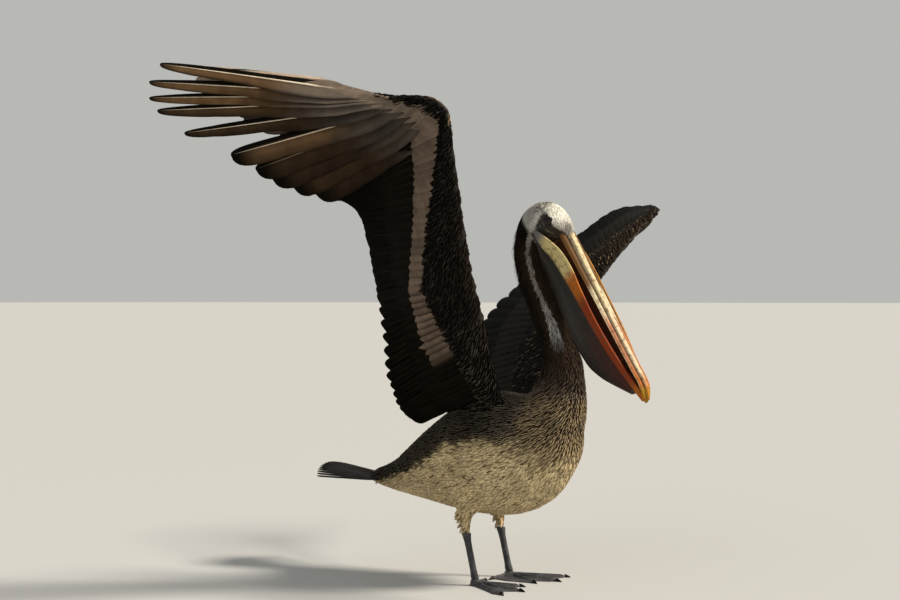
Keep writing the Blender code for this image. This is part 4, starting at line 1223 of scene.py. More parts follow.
class Sheaf:
    """Gathers long feathers that become one piece."""

    def __init__(self, name):
        self.name, self.count, self.feathers = name, 0, 0
        self.parts = {kind: [] for kind in ("points", "quads", "tris", "colours", "vane", "owner")}

    def add_part(self, **arrays):
        size = len(arrays["points"])
        arrays["owner"] = np.full(size, self.feathers)
        for kind, rows in arrays.items():
            self.parts[kind].append(rows + self.count if kind in ("quads", "tris") else rows)
        self.count += size

    def add(self, line, up, width, look, inner, outer_share, camber=0.10, notch=0.0, shaft=0.0011,
            round_tip=0.80, seed=0):
        """line: the shaft's points; up: towards the upper side; inner: the side of the wide vane."""
        draw = np.random.default_rng(seed + 1000)

        def frame_at(y):
            ends = (np.clip(y + step, 0, 1) for step in (TANGENT_STEP, -TANGENT_STEP))
            ahead, behind = (smooth_row(line, end) for end in ends)
            along = unit(ahead - behind)
            side = unit(np.cross(along, up))
            return side, np.cross(side, along)

        x, y, z = vane_points.T
        side, upward = frame_at(y)
        towards = -x if side[0] @ inner < 0 else x
        body = ROOT_WIDTH + (1 - ROOT_WIDTH) * ramp(y, 0.0, 0.22)
        end = np.sqrt(np.clip(1 - np.clip((y - round_tip) / (1 - round_tip), 0, 1) ** 2, 0, 1))
        share = np.where(towards > 0, 1 - outer_share, outer_share)
        inner_notch, outer_notch = 1 - notch * ramp(y, 0.42, 0.60), 1 - 0.45 * notch * ramp(y, 0.3, 0.55)
        share = share * np.where(towards > 0, inner_notch, outer_notch)
        nick = np.maximum(0, np.sin(y * draw.uniform(20, 40) + draw.uniform(0, 6))) ** 8
        offset = x * share * (body * (0.04 + 0.96 * end) * width) * (1 - 0.05 * nick * (np.abs(x) > 0.7))
        rise = z * VANE_THICK / 2 * (1 - 0.7 * np.abs(x)) - camber * (offset / width) ** 2 * width * 4
        self.add_part(points=smooth_row(line, y) + side * offset[:, None] + upward * rise[:, None],
                      quads=vane_quads, tris=vane_tris, vane=np.stack([x / 2 + 0.5, y], axis=1),
                      colours=look(np.where(towards > 0, np.abs(x), -np.abs(x)), y))
        x, y, z = shaft_points.T
        y = y * SHAFT_REACH
        side, upward = frame_at(y)
        girth = shaft * (1 - 0.85 * y)
        rod = smooth_row(line, y) + side * (x * girth)[:, None] + upward * (z * girth * 1.1)[:, None]
        self.add_part(points=rod, quads=shaft_quads, tris=shaft_tris,
                      vane=np.stack([np.full(len(y), 0.5), y], axis=1),
                      colours=look(np.full(len(y), SHAFT_MARK), y))
        self.feathers += 1

    def close(self, *nodes):
        points, quads, tris, colours, vane, owner = (np.concatenate(rows) for rows in self.parts.values())
        column = (owner + 0.05 + vane[:, 0] * 0.9) / self.feathers
        bake = np.stack([column, 0.02 + vane[:, 1] * 0.96], axis=1)
        obj = mesh_object(self.name, points, [quads, tris], vane, bake, coat=colours)
        finish_piece(obj, quill_material, "flight_quill", *nodes)
        print(self.name, self.feathers, "feathers")


# %% Colours of the quills
CREAM_SHAFT = np.array((0.70, 0.60, 0.45))
DARK_SHAFT = np.array((0.0160, 0.0120, 0.0090))
PRIMARY_GOLD = np.array((0.230, 0.130, 0.058))
PRIMARY_BROWN = np.array((0.028, 0.018, 0.011))
PRIMARY_BASE = np.array((0.105, 0.084, 0.066))
NO_DARK_TIP = 1.2


def look_of(outer, inner, tip_colour, shaft, tip_from=0.86, edge=None, base=None, seed=0):
    """Colours a quill: outer vane, inner vane darkening to its margin, pale base, dark tip, shaft."""
    tint = np.random.default_rng(seed + 77).uniform(0.82, 1.2)

    def look(x, y):
        broad = mix(inner, inner * 0.35, ramp(x, 0.35, 0.95))
        if base is not None:
            broad = mix(broad, base, ramp(y, 0.50, 0.22))
        colour = mix(outer, broad, ramp(x, -0.12, 0.06)) * tint
        cloud = 0.12 * np.sin(y * 19 + seed) * np.sin(y * 7.3 + seed * 2)
        colour = colour * (1 + cloud)[:, None]
        if edge is not None:
            colour = mix(colour, edge, ramp(np.abs(x), 0.80, 0.99) * 0.8)
        colour = mix(colour, tip_colour, ramp(y, tip_from - 0.08, tip_from + 0.05))
        rod = mix(shaft, tip_colour, ramp(y, 0.85, 0.99) * 0.7)
        return np.where((x == SHAFT_MARK)[:, None], rod, colour)

    return look


# %% [markdown]
# Ten primaries fan out from the hand. On the raised wing the outer ones narrow suddenly and stand
# apart like fingers. On the half folded wing they slide under one another beneath the forearm.

# %% Primaries
PRIMARIES = 10
PRIMARY_WIDTH = 0.036
GOLD_SHARES = (0.05, 0.10, 0.06, 0.12, 0.38, 0.12, 0.20, 0.85, 0.60, 0.35)  # inner vane, first to tenth
PRIMARY_CANT = math.radians(14)
LAYER_STEP = 0.0042  # between quills that slide under one another on the folded wing
ROOTS_REACH = 0.72  # the roots take up this much of the hand
SAG = {"right": 0.030, "left": 0.020}
FIRST_FOLDED = 0.45  # share of its width that the first primary keeps on the folded wing


def primary_line(wing, number):
    share = (number - 0.5) / PRIMARIES
    s = 2.02 + 0.98 * share
    root, tip = wing.bone(WRIST + ROOTS_REACH * share), wing.tip(WRIST + (number - 1) / (PRIMARIES - 1))
    along = unit(tip - root)
    up = wing.up(2.5 if wing.folded else s)
    up = unit(up - along * (up @ along))
    if wing.folded:
        layer = up * (LAYER_STEP * (3 - number))
        root, tip = root + layer, tip + layer
    behind = np.cross(along, up)
    inward = wing.tip(max(WRIST, s - 0.3)) - wing.tip(s)
    behind = behind if behind @ inward > 0 else -behind
    cant = 0.0 if wing.folded else PRIMARY_CANT
    steps = np.linspace(0.30 if wing.folded else 0.06, 1, 7)
    points = [root + (tip - root) * t + up * (SAG[wing.side] * (t**2 - t)) for t in steps]
    return np.array(points), up * math.cos(cant) + behind * math.sin(cant), behind


for side, wing in wings.items():
    sheaf = Sheaf(f"primaries_{side}")
    # the folded far wing's primaries are darkened to a quarter: painted shade
    far_wing_shade = 0.25 if wing.folded else 1.0
    for number in range(1, PRIMARIES + 1):
        line, lift, behind = primary_line(wing, number)
        fingered = number > 5
        gold = mix(PRIMARY_BROWN, PRIMARY_GOLD, GOLD_SHARES[number - 1]) * far_wing_shade
        pale = CREAM_SHAFT * (0.4 + 0.6 * (number > 4)) * far_wing_shade
        base = PRIMARY_BASE * far_wing_shade * (0.45 + 0.55 * (number > 6))
        tip_from, broad, notch, round_tip = (0.96, 1.0, 0.30, 0.60) if fingered else (0.90, 1.12, 0.0, 0.84)
        look = look_of(BLACKISH, gold, BLACKISH, pale, tip_from=tip_from, base=base, seed=number)
        slim = FIRST_FOLDED if wing.folded and number == 1 else 1.0
        sheaf.add(line, lift, PRIMARY_WIDTH * slim * broad, look, behind, 0.27, camber=0.12,
                  notch=notch, shaft=0.0022, round_tip=round_tip, seed=number)
    sheaf.close(*[f"primary_{side}_{n:02d}" for n in range(1, PRIMARIES + 1)])

# %% [markdown]
# Secondaries hang from the forearm and tertials from the upper arm, each overlapping the next
# by half its width. Their roots are hidden by rows of coverts: the greater ones are quills in
# small, and lie on both faces of the wing.

# %% Rows of quills and of coverts
LAST_SECONDARY = 1.97
QUILL_ROOTS = 1.15  # the secondaries and tertials leave the wing just behind the bone


def wing_point(wing, s, reach, face, off):
    """A point at s: reach 0 at the front edge, 1 at the bone, 2 at the covert line, 3 at the quill's tip."""
    stops = [wing.read(name, s) for name in ("front", "bone", "edge", "tip")]
    k = min(int(reach), 2)
    return stops[k] + (stops[k + 1] - stops[k]) * (reach - k) + wing.read("up", s) * (face * off)


def row_of_quills(name, wing, s_from, s_to, count, width, look_for):
    sheaf = Sheaf(name)
    for k, s in enumerate(np.linspace(s_from, s_to, count)):
        up, outward = wing.read("up", s), wing.read("across", s)
        root, end = wing_point(wing, s, QUILL_ROOTS, 1, 0.0), wing.tip(min(s, LAST_SECONDARY))
        bow = outward * (np.linalg.norm(end - root) * 0.03)
        end = root + (end - root) * (1 - 0.018 * np.random.default_rng(k + 5).random())
        lap = up * (0.0012 * (k % 2) - 0.0006)
        points = [root + (end - root) * t + bow * (t - t * t) * 2 + lap for t in np.linspace(0, 1, 6)]
        sheaf.add(points, unit(up + outward * 0.14), width, look_for(k), -outward, 0.36, camber=0.08,
                  shaft=0.0012, round_tip=0.88, seed=k)
    sheaf.close(name)


def row_of_coverts(name, wing, face, s_from, s_to, count, reach_from, reach_to, width, off, look_for):
    sheaf = Sheaf(name)
    for k, s in enumerate(np.linspace(s_from, s_to, count)):
        draw = np.random.default_rng(k + 900)
        outward = wing.read("across", s)
        reach = reach_to(s) if callable(reach_to) else reach_to
        root = wing_point(wing, s, reach_from, face, off * 0.7)
        end = wing_point(wing, s, reach + draw.uniform(-0.04, 0.04), face, off * 0.4)
        middle = wing_point(wing, s, (reach_from + reach) / 2, face, off)
        points = [smooth_row([root, middle, end], t) for t in np.linspace(0, 1, 4)]
        sheaf.add(points, unit(wing.read("up", s) * face + outward * 0.12), width * draw.uniform(0.9, 1.1),
                  look_for(k, s), -outward, 0.45, shaft=0.0006, round_tip=0.74, seed=k)
    sheaf.close()


# %% Secondaries and tertials
# the quills' dark tone is partly their own colour and partly painted shade, darker still on the far left
# wing
QUILL_DARK_AND_SHADE = {"right": np.array((0.0034, 0.0026, 0.0014)), "left": np.array((0.0016, 0.0012, 0.0008))}
ROWS = {  # s from, s to, how many, width; outer vane, inner vane, tip and edge as shares of the dusk; seed
    "secondaries": (1.02, LAST_SECONDARY, 20, 0.038, (0.8, 1.0, 0.7, 1.7), 0),
    "tertials": (0.16, 0.98, 13, 0.042, (1.1, 1.3, 1.0, 2.6), 40),
}
for side, wing in wings.items():
    for name, (s_from, s_to, count, width, shares, seed) in ROWS.items():
        outer, inner, tip, edge = (QUILL_DARK_AND_SHADE[side] * share for share in shares)
        row_of_quills(f"{name}_{side}", wing, s_from, s_to, count, width,
                      lambda k: look_of(outer, inner, tip, DARK_SHAFT, edge=edge, seed=k + seed))

# %% Coverts below and above
UNDER, UPPER = -1, 1
# the under side's darker tone is the dark underwing, darkened further as painted shade
ARM_TONE = {UNDER: np.array((0.0036, 0.0028, 0.0016)), UPPER: np.array((0.0085, 0.0066, 0.0044))}
HAND_TONE = np.array((0.190, 0.145, 0.108))
UPPER_HAND = 0.10  # the hand's upper side is this much of the lower side's tone


def pale_at(s):
    """The hand's coverts vary, and grow pale at the outermost primaries."""
    return 0.60 + 0.35 * math.sin(s * 23) + 2.6 * float(ramp(s, 2.80, 2.95))


for side, wing in wings.items():
    for face, label in ((UNDER, "under"), (UPPER, "upper")):
        arm = ARM_TONE[face]
        arm_shaft, arm_edge = (SILVER * 0.3, arm * 2.4) if face == UPPER else (DARK_SHAFT, arm * 1.2)
        hand = HAND_TONE * (1.0 if face == UNDER else UPPER_HAND)
        row_of_coverts(
            f"greater_coverts_{label}_{side}", wing, face, 0.10, 1.92 if wing.folded else LAST_SECONDARY, 36,
            1.35, 2.38, 0.030, 0.0058,
            lambda k, s: look_of(arm, arm * 1.3, arm, arm_shaft, edge=arm_edge, seed=k))
        if face == UNDER:
            row_of_coverts(
                f"median_coverts_{label}_{side}", wing, face, 0.12, 1.92 if wing.folded else 2.02, 44,
                1.02, lambda s: 1.66 + 0.42 * float(ramp(s, 1.25, 0.75)), 0.024, 0.0088,
                lambda k, s: look_of(
                    *[mix(arm * 1.3, TAUPE * g, ramp(s, 0.46, 0.60)) for g in (0.9, 1.0, 1.0, 1.15)],
                    tip_from=NO_DARK_TIP, seed=k))
        if not wing.folded:
            row_of_coverts(
                f"primary_coverts_{label}_{side}", wing, face, 2.05, 2.97, 17,
                1.10, lambda s: 2.46 + 0.20 * float(ramp(s, 2.75, 2.95)) * (face == UNDER), 0.034, 0.0050,
                lambda k, s: look_of(
                    *[hand * g * pale_at(s) for g in (0.55, 0.75, 0.7, 1.3)], tip_from=NO_DARK_TIP, seed=k))
            row_of_coverts(
                f"small_primary_coverts_{label}_{side}", wing, face, 2.03, 2.95, 20,
                1.04, 1.92, 0.026, 0.0072,
                lambda k, s: look_of(
                    *[hand * g for g in (0.7, 0.95, 0.9, 1.2)], tip_from=NO_DARK_TIP, seed=k + 3))

# %% [markdown]
# The tail is short and stiff: a flat fan whose outer feathers are a little shorter.

# %% Tail
TAIL_ROOT, TAIL_TIP = at(-0.318, 0.0, 0.172), at(-0.452, 0.0, 0.186)
TAIL_FEATHERS = 18
TAIL_SPREAD = math.radians(25)
TAIL_WIDTH, TAIL_FEATHER_WIDTH = 0.030, 0.026  # half the width at the roots, and one feather's
TAIL_BURIED = 0.03  # this much of each feather is inside the body
TAIL_ROUNDING = 0.16  # the outermost feathers are this much shorter
SLATE = np.array((0.0110, 0.0105, 0.0105))
tail = Sheaf("tail_feathers")
run = unit(TAIL_TIP - TAIL_ROOT)
tail_out = np.array([1.0, 0.0, 0.0])
tail_up = unit(np.cross(tail_out, run))
tail_up = tail_up if tail_up[2] > 0 else -tail_up
for k in range(TAIL_FEATHERS):
    share = (k + 0.5) / TAIL_FEATHERS * 2 - 1
    angle = share * TAIL_SPREAD
    reach = np.linalg.norm(TAIL_TIP - TAIL_ROOT) * (1 - TAIL_ROUNDING * share**2)
    root = TAIL_ROOT + tail_out * (share * TAIL_WIDTH)
    base = root - run * TAIL_BURIED
    end = root + run * (reach * math.cos(angle)) + tail_out * (reach * math.sin(angle))
    layer = tail_up * (0.0052 * (1 - abs(share)) - 0.016 * share**2)
    points = [base + (end - base) * t + layer * (0.3 + 0.7 * t) for t in np.linspace(0, 1, 5)]
    look = look_of(SLATE, SLATE * 1.3, SLATE * 0.8, DARK_SHAFT, edge=SLATE * 4.5, seed=k)
    tail.add(points, tail_up, TAIL_FEATHER_WIDTH, look, -tail_out * np.sign(share), 0.42, camber=0.06,
             shaft=0.0012, round_tip=0.86, seed=k)
tail.close("tail")

# %% [markdown]
# ## The bill
# The upper half is a long flat blade with a raised ridge between two grooves and a hooked nail.
# The lower half is two bowed bars that meet at the tip, with the pouch slung between them. Such
# changing sections are lofted: a ring of points is worked out at each place along the bill, and
# neighbouring rings are joined by faces.

# %% Loft helper
def lofted(name, rings, colours, material, slot, *nodes):
    """A closed skin over rings of equal count, with flat ends."""
    rings = np.asarray(rings, float)
    steps, count = rings.shape[:2]
    grid = np.arange(steps * count).reshape(steps, count)
    a, b = grid[:-1], grid[1:]
    quads = np.stack([a, np.roll(a, -1, 1), np.roll(b, -1, 1), b], axis=-1).reshape(-1, 4)
    middles = np.array([rings[0].mean(0), rings[-1].mean(0)])
    first = np.stack([np.roll(grid[0], -1), grid[0], np.full(count, steps * count)], axis=-1)
    last = np.stack([grid[-1], np.roll(grid[-1], -1), np.full(count, steps * count + 1)], axis=-1)
    points = np.vstack([rings.reshape(-1, 3), middles])
    hue = np.vstack([np.reshape(colours, (-1, 3)), colours[0][0], colours[-1][0]])
    u = np.tile(np.arange(count) / count, steps)
    v = np.repeat(np.linspace(0, 1, steps), count)
    vane = np.vstack([np.stack([u, v], axis=1), (0.5, 0.0), (0.5, 1.0)])
    obj = mesh_object(name, points, [quads, np.vstack([first, last])], vane, coat=hue)
    in_edit_mode(obj, turn_faces_out)
    bpy.ops.object.shade_smooth_by_angle(angle=math.radians(60))
    finish_piece(obj, material, slot, *nodes)
    print(name, len(quads) * 2 + count * 2, "triangles")


BILL_BOW = 0.0065  # the whole bill bends this far to the right over its length


def in_bill(along, left, ridge):
    left = left - BILL_BOW * float(ramp(along, 0.0, 0.33))
    return BILL_ROOT + BILL_ALONG * along + BILL_LEFT * left + BILL_RIDGE * ridge


# %% Upper half of the bill
BILL_HALF_WIDTHS = (0.0205, 0.0215, 0.0200, 0.0180, 0.0170, 0.0160, 0.0150, 0.0135)
BILL_HEIGHTS = (0.0150, 0.0120, 0.0095, 0.0080, 0.0070, 0.0065, 0.0062, 0.0065)
BILL_STARTS = -0.03
NAIL_DROP = 0.016
BILL_RINGS, BLADE_POINTS = 90, 33
RIDGE_CREAM, RIDGE_WHITE = (0.66, 0.54, 0.32), (0.68, 0.53, 0.34)
GROOVE = (0.060, 0.028, 0.010)
SIDE_BROWN, SIDE_CREAM = (0.140, 0.066, 0.018), (0.60, 0.50, 0.32)
SALMON = (0.42, 0.16, 0.075)
ORANGE = (0.44, 0.120, 0.008)
NAIL_YELLOW = (0.40, 0.21, 0.012)
# the palate's pink-red is brightened as painted light in the shaded mouth
PALATE_PALE, PALATE_RED = (0.35, 0.16, 0.07), (0.40, 0.12, 0.05)


def bill_section(x):
    """Height across the blade, from the cutting edge over groove and ridge: x runs from -1 to 1."""
    away = np.abs(x)
    ridge = 0.95 + 0.10 * np.cos(np.clip(away / 0.24, 0, 1) * math.pi / 2)
    ridge = ridge * (1 - ramp(away, 0.24, 0.40)) + 0.34 * ramp(away, 0.24, 0.40)
    side = 0.10 * np.exp(-((away - 0.62) / 0.14) ** 2) - 0.36 * ramp(away, 0.80, 1.0)
    groove = -0.16 * np.exp(-((away - 0.42) / 0.06) ** 2)
    return ridge + side + groove


def upper_bill():
    top = np.linspace(-1, 1, BLADE_POINTS)
    under = np.linspace(1, -1, 11)[1:-1]
    x = np.concatenate([top, under])
    away = np.abs(x)
    section = np.concatenate([bill_section(top), -0.30 - 0.20 * (1 - np.abs(under) ** 2)])
    rings, colours = [], []
    for t in np.linspace(0, 1, BILL_RINGS):
        distance = BILL_STARTS + (BILL_LENGTH - BILL_STARTS) * t
        half, rise = smooth_row(BILL_HALF_WIDTHS, t), smooth_row(BILL_HEIGHTS, t)
        end = max(0.0, (t - 0.90) / 0.10)
        half *= math.sqrt(max(0.0, 1 - end**2)) * 0.8 + 0.2
        nail = float(ramp(t, 0.935, 0.955))
        high = section + 0.12 * nail * (away < 0.6) * (np.arange(len(x)) < BLADE_POINTS)
        rings.append([in_bill(distance, a * half, b * rise - NAIL_DROP * end**2) for a, b in zip(x, high)])
        ridge = mix_chain(RIDGE_CREAM, (RIDGE_WHITE, ramp(t, 0.45, 0.60)),
                          (ORANGE, ramp(t, 0.86, 0.93) * 0.7))
        side = mix_chain(SIDE_BROWN, (SIDE_CREAM, ramp(t, 0.36, 0.44)), (SALMON, ramp(t, 0.52, 0.62)),
                         (ORANGE, ramp(t, 0.80, 0.90)))
        hue = mix_chain(
            ridge, (side, ramp(away, 0.36, 0.48)),
            (GROOVE, np.exp(-((away - 0.41) / 0.075) ** 2) * (1 - nail) * 0.95),
            (RIDGE_CREAM, ramp(away, 0.86, 0.96) * 0.45 * ramp(t, 0.35, 0.50)),
            (mix(NAIL_YELLOW, ORANGE, np.exp(-(away / 0.25) ** 2) * 0.6), nail))
        # the palate under the blade, brightened as painted light
        hue[BLADE_POINTS:] = mix(PALATE_PALE, PALATE_RED, t)
        colours.append(hue)
    lofted("bill_upper_horn", rings, colours, bill_material, "bill_horn", "bill_upper")


upper_bill()

# %% Lower half of the bill
RIGHT, LEFT = -1, 1
JAWS = {  # along the bill, half width, depth below the ridge's line, half height: from gape to tip
    RIGHT: [
        (-0.030, 0.0500, 0.0270, 0.0045), (0.003, 0.0485, 0.0202, 0.0122), (0.036, 0.0385, 0.0160, 0.0148),
        (0.078, 0.0322, 0.0163, 0.0154), (0.130, 0.0318, 0.0164, 0.0116), (0.190, 0.0310, 0.0164, 0.0092),
        (0.250, 0.0278, 0.0156, 0.0082), (0.315, 0.0190, 0.0151, 0.0068), (0.380, 0.0050, 0.0145, 0.0055),
    ],
    LEFT: [
        (-0.030, 0.0210, 0.0270, 0.0045), (0.003, 0.0285, 0.0240, 0.0105), (0.036, 0.0322, 0.0205, 0.0115),
        (0.078, 0.0325, 0.0185, 0.0112), (0.130, 0.0318, 0.0172, 0.0100), (0.190, 0.0310, 0.0164, 0.0088),
        (0.250, 0.0278, 0.0156, 0.0078), (0.315, 0.0190, 0.0151, 0.0068), (0.380, 0.0050, 0.0145, 0.0055),
    ],
}
JAW_THICK = 0.0064
JAW_STEPS = 60
JAW_SIDES = 16
GAPE_GREY = (0.165, 0.150, 0.160)
OLIVE_CREAM = (0.60, 0.49, 0.22)
RED_ORANGE = (0.22, 0.024, 0.003)
GOLDEN = (0.44, 0.20, 0.030)


def jaw_place(side, t):
    """Middle and half height of one bar, and how far along the bill it is."""
    distance, out, below, half_height = smooth_row(JAWS[side], t)
    return in_bill(distance, side * out, -below), half_height, distance


def jaw_colour(side, a):
    if side == LEFT:
        return mix_chain(GAPE_GREY, (GOLDEN, ramp(a, -0.02, 0.02)), (ORANGE, ramp(a, 0.28, 0.35)))
    return mix_chain(
        GAPE_GREY, (OLIVE_CREAM, ramp(a, -0.020, 0.012)), (ORANGE, ramp(a, 0.072, 0.105)),
        (RED_ORANGE, ramp(a, 0.125, 0.165) * 0.9), (ORANGE, ramp(a, 0.335, 0.365)))


def lower_bill():
    """One bent bar: down the right side to the tip and back up the left."""
    shares = [k / JAW_STEPS for k in range(JAW_STEPS + 1)]
    stops = [(RIGHT, t) for t in shares] + [(LEFT, 1 - t) for t in shares]
    places = [jaw_place(side, t) for side, t in stops]
    around = np.linspace(0, 2 * math.pi, JAW_SIDES + 1)[:-1]
    flat = np.sign(np.cos(around)) * np.abs(np.cos(around)) ** 0.75
    tall = np.sign(np.sin(around)) * np.abs(np.sin(around)) ** 0.85
    lip = 1 + 0.10 * (tall > 0.5)
    rings, colours = [], []
    for k, (centre, half_height, a) in enumerate(places):
        along = unit(places[min(k + 2, len(places) - 1)][0] - places[max(k - 2, 0)][0])
        up = unit(BILL_RIDGE - along * (BILL_RIDGE @ along))
        out = np.cross(along, up)
        rings.append([centre + out * (JAW_THICK / 2 * c * w) + up * (half_height * h)
                      for c, h, w in zip(flat, tall, lip)])
        hue = jaw_colour(stops[k][0], a)
        # the lower edge of each bar is darkened to under half its colour: painted shade
        colours.append(mix(hue, hue * 0.45, ramp(tall, -0.55, -0.9)))
    lofted("bill_lower_horn", rings, colours, bill_material, "bill_horn", "bill_lower")


lower_bill()

# %% [markdown]
# The pouch is thin bare skin. It hangs in long folds that start at the throat and run out
# towards the tip of the bill, so the wall is pushed in and out along those lines.

# %% Pouch
POUCH_PLACES = (-0.026, -0.010, 0.015, 0.060, 0.130, 0.190, 0.250, 0.290, 0.330, 0.365)  # along the bill
POUCH_DEPTHS = (0.008, 0.025, 0.047, 0.062, 0.075, 0.081, 0.076, 0.060, 0.035, 0.012)
POUCH_WALL = 0.0024
POUCH_RINGS, POUCH_POINTS = 80, 54
FINE_FOLDS, FINE_FOLD_DEPTH = 19, 0.0010
BROAD_FOLDS, BROAD_FOLD_DEPTH = 7, 0.0020
POUCH_GREY, POUCH_BLUE = (0.0125, 0.0095, 0.0060), (0.0300, 0.0260, 0.0240)
# the inside of the pouch is its reddish brown, brightened as painted light in the shaded mouth
POUCH_RED, POUCH_INSIDE_LIT = (0.040, 0.006, 0.0012), (0.130, 0.050, 0.024)


def pouch():
    angle = math.pi * np.arange(POUCH_POINTS + 1) / POUCH_POINTS
    low = np.sin(angle)
    bulge = 1 + 0.10 * low**2
    rings, colours = [], []
    for t in 0.01 + 0.93 * np.arange(POUCH_RINGS) / (POUCH_RINGS - 1):
        (right, half_height, a), (left, _, _) = jaw_place(RIGHT, t), jaw_place(LEFT, t)
        around = a + np.linspace(-0.012, 0.012, 7)
        deep = float(np.mean(np.interp(around, POUCH_PLACES, POUCH_DEPTHS)))
        drop = BILL_RIDGE * -(half_height * 0.55)
        right, left = right + drop, left + drop
        middle, half = (right + left) / 2, (left - right) / 2
        fold = np.sin(angle * FINE_FOLDS + 3.0 * t + 1.3 * np.sin(angle * 3 + t * 4)) * FINE_FOLD_DEPTH
        fold = fold + np.sin(angle * BROAD_FOLDS - 2.0 * t) * BROAD_FOLD_DEPTH
        fold = fold * low * ramp(t, 0.00, 0.12) * ramp(t, 0.95, 0.75)
        sheets = []
        for wall in (0.0, POUCH_WALL):
            sideways = -np.cos(angle) * bulge * (np.linalg.norm(half) - wall + fold)
            downward = low**0.85 * (max(deep - wall, 0.001) + fold)
            sheets.append([middle + unit(half) * x - BILL_RIDGE * y for x, y in zip(sideways, downward)])
        rings.append(sheets[0] + sheets[1][::-1])
        crease = np.clip(np.sin(angle * FINE_FOLDS + 3 * t) * 0.5 + 0.1, 0, 1)
        red = ramp(a, 0.15, 0.30) * ramp(low, 0.75, 0.15) * 0.9 + ramp(a, 0.27, 0.35) * 0.6
        hue = mix_chain(POUCH_GREY, (POUCH_BLUE, crease * 0.5), (POUCH_RED, np.clip(red, 0, 1) * 0.9))
        # the inner wall takes the inside's colour, brightened as painted light
        colours.append(np.vstack([hue, np.tile(POUCH_INSIDE_LIT, (len(hue), 1))]))
    lofted("pouch_skin_folds", rings, colours, pouch_material, "bare_skin", "pouch")


pouch()

# %% [markdown]
# ## Eyes
# Each eye is a ball sunk in the bare face. A raised rim of skin is swept round its almond
# opening and follows the ball's curve. The upper lid is the thicker.

# %% Eyes and lids
LID_DARK, LID_PALE = (0.012, 0.009, 0.007), (0.060, 0.048, 0.036)
LID_HALF_WIDTH, LID_HALF_HEIGHT = 0.0068, 0.0056
LID_CLEARS = 0.0004
LID_TURNS, LID_SIDES = 37, 8

for side, sign in SIDES.items():
    centre = eye_middle[side]
    outward = unit(heading(0.30, sign, 0.05) + BILL_LEFT * sign)
    deselect()
    bpy.ops.mesh.primitive_uv_sphere_add(
        segments=32, ring_count=20, radius=EYE_RADIUS, location=tuple(centre))
    ball = bpy.context.object
    ball.name = f"eyeball_{side}"
    bpy.ops.object.transform_apply(location=True, rotation=True, scale=True)
    bpy.ops.object.shade_smooth()
    finish_piece(ball, eye_material(f"eye_{side}_wet", centre, outward), "eye_glass", f"eye_{side}")
    level = unit(np.cross(outward, (0, 0, 1)))
    upright = unit(np.cross(level, outward))
    rings, colours = [], []
    tube = np.linspace(0, 2 * math.pi, LID_SIDES + 1)[:-1]
    for turn in np.linspace(0, 2 * math.pi, LID_TURNS):
        a, b = math.cos(turn) * LID_HALF_WIDTH, math.sin(turn) * LID_HALF_HEIGHT
        sink = math.sqrt(max((EYE_RADIUS + LID_CLEARS) ** 2 - a * a - b * b, 1e-8))
        spot = centre + level * a + upright * b + outward * sink
        radial = unit(level * math.cos(turn) + upright * math.sin(turn))
        heavy = 1.0 + 0.7 * max(0.0, math.sin(turn))
        rings.append([spot + radial * (0.0010 * heavy * math.cos(u) + 0.0007)
                      + outward * (0.0009 * heavy * math.sin(u)) for u in tube])
        hue = mix(LID_PALE, LID_DARK, ramp(math.sin(turn), -0.5, 0.1))
        colours.append(np.tile(hue, (LID_SIDES, 1)))
    lofted(f"eyelid_{side}", rings, colours, skin_material, "bare_skin")

# %% [markdown]
# ## Legs and feet
# The solid legs already have the right shape, so their copies are only remeshed finely and
# softened. Scales come from the material. Claws keep their solids and only get a new finish.

# %% Legs, feet and claws
LEG_GREY = np.array((0.060, 0.058, 0.062))
LEG_PARTS = (("shank", 0.0012, 3), ("foot", 0.0011, 2))  # voxel in metres, rounds of smoothing
for side in SIDES:
    for part, voxel, rounds in LEG_PARTS:
        name = f"{part}_{side}"
        piece = remeshed(copies_joined([name], f"{name}_scaled"), voxel, rounds)
        places = points_of(piece.data)
        paint(piece.data, LEG_GREY * (1 + 0.35 * ripple(places, 0.012, 9))[:, None])
        print(piece.name, len(places), "points")
        finish_piece(piece, foot_material, "bare_skin", name)
for name, obj in frame["nodes"].items():
    if name.startswith("claw_"):
        dress(obj, claw_material)

# %% [markdown]
# ## Stage, light and camera
# A pale floor, a soft sun from the bird's front and left as the key, a weak fill from the other
# side, and a pale sky for the rest. The camera looks level from the bird's right and a little
# from before it.

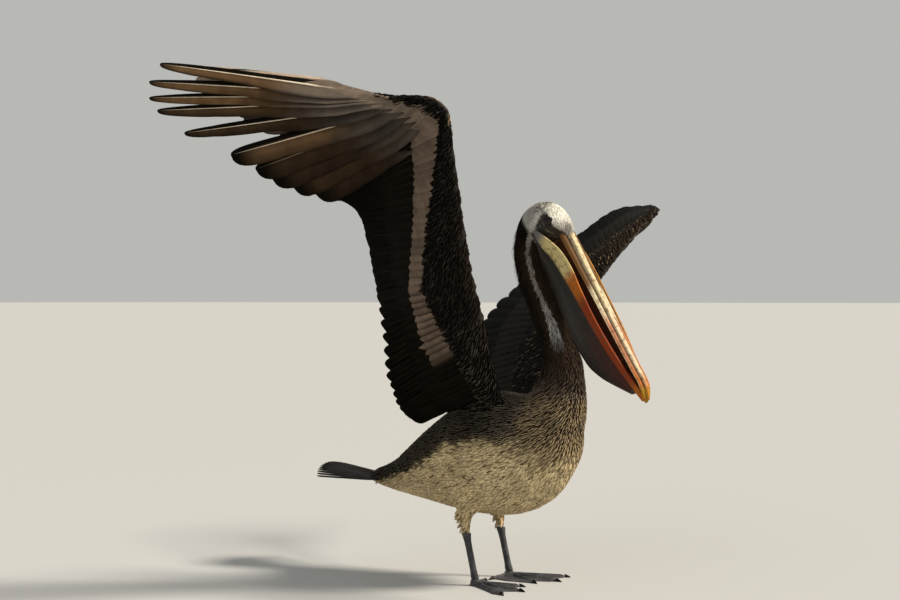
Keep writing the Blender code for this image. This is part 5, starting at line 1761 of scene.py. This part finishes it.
# %% Floor and lights
deselect()
bpy.ops.mesh.primitive_plane_add(size=600, location=(0, 0, 0))
floor = bpy.context.object
floor.name = "floor"
floor_look = Look("floor_paint", 0.85)
floor.data.materials.append(floor_look.close((0.42, 0.42, 0.41)))
floor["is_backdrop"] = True

CAMERA_RIGHT = heading(0.819, 0.574, 0.0)
CAMERA_BACK = heading(0.574, -0.819, 0.0)
LIT_POINT = OFFSET * (1, 1, 0) + np.array([0, 0, 0.5])
KEY_WAY = CAMERA_RIGHT * 4.2 + CAMERA_BACK * 0.5 + np.array([0, 0, 3.5])
FILL_PLACE = LIT_POINT - CAMERA_RIGHT * 1.6 + CAMERA_BACK * 3.0 + np.array([0, 0, 1.0])


def aimed(name, data, place, way):
    """Puts a lamp or a camera in the scene, turned to look one way."""
    made = put_in_scene(name, data)
    made.location = Vector(place)
    made.rotation_euler = Vector(way).to_track_quat("-Z", "Y").to_euler()
    return made


key = bpy.data.lights.new("key", "SUN")
key.energy, key.angle, key.color = 5.6, math.radians(15), (1.0, 0.92, 0.80)
aimed("key", key, LIT_POINT + KEY_WAY, -KEY_WAY)
fill = bpy.data.lights.new("fill", "AREA")
fill.shape, fill.size, fill.energy, fill.color = "DISK", 2.5, 16, (0.92, 0.95, 1.0)
aimed("fill", fill, FILL_PLACE, Vector(LIT_POINT) - Vector(FILL_PLACE))
world = bpy.data.worlds.new("pale_sky")
bpy.context.scene.world = world
world.use_nodes = True
sky = world.node_tree.nodes["Background"].inputs
sky["Color"].default_value = (0.80, 0.80, 0.77, 1)
sky["Strength"].default_value = 0.60

# %% Camera
LENS, SENSOR = 64.0, 36.0
CAMERA_PLACE = OFFSET - CAMERA_RIGHT * 0.11 + CAMERA_BACK * 3.2 + np.array([0, 0, 0.54])
view = bpy.data.cameras.new("view")
view.lens, view.sensor_width = LENS, SENSOR
bpy.context.scene.camera = aimed("view", view, CAMERA_PLACE, -CAMERA_BACK)
bpy.context.scene.view_settings.view_transform = "Standard"

# %% Sizes, and the end
dressed_box = [list(corner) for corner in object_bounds()]
for axis, low, high, a, b in zip("XYZ", *solid_box, *dressed_box):
    print(axis, "solid", round(low, 4), round(high, 4), "dressed", round(a, 4), round(b, 4))
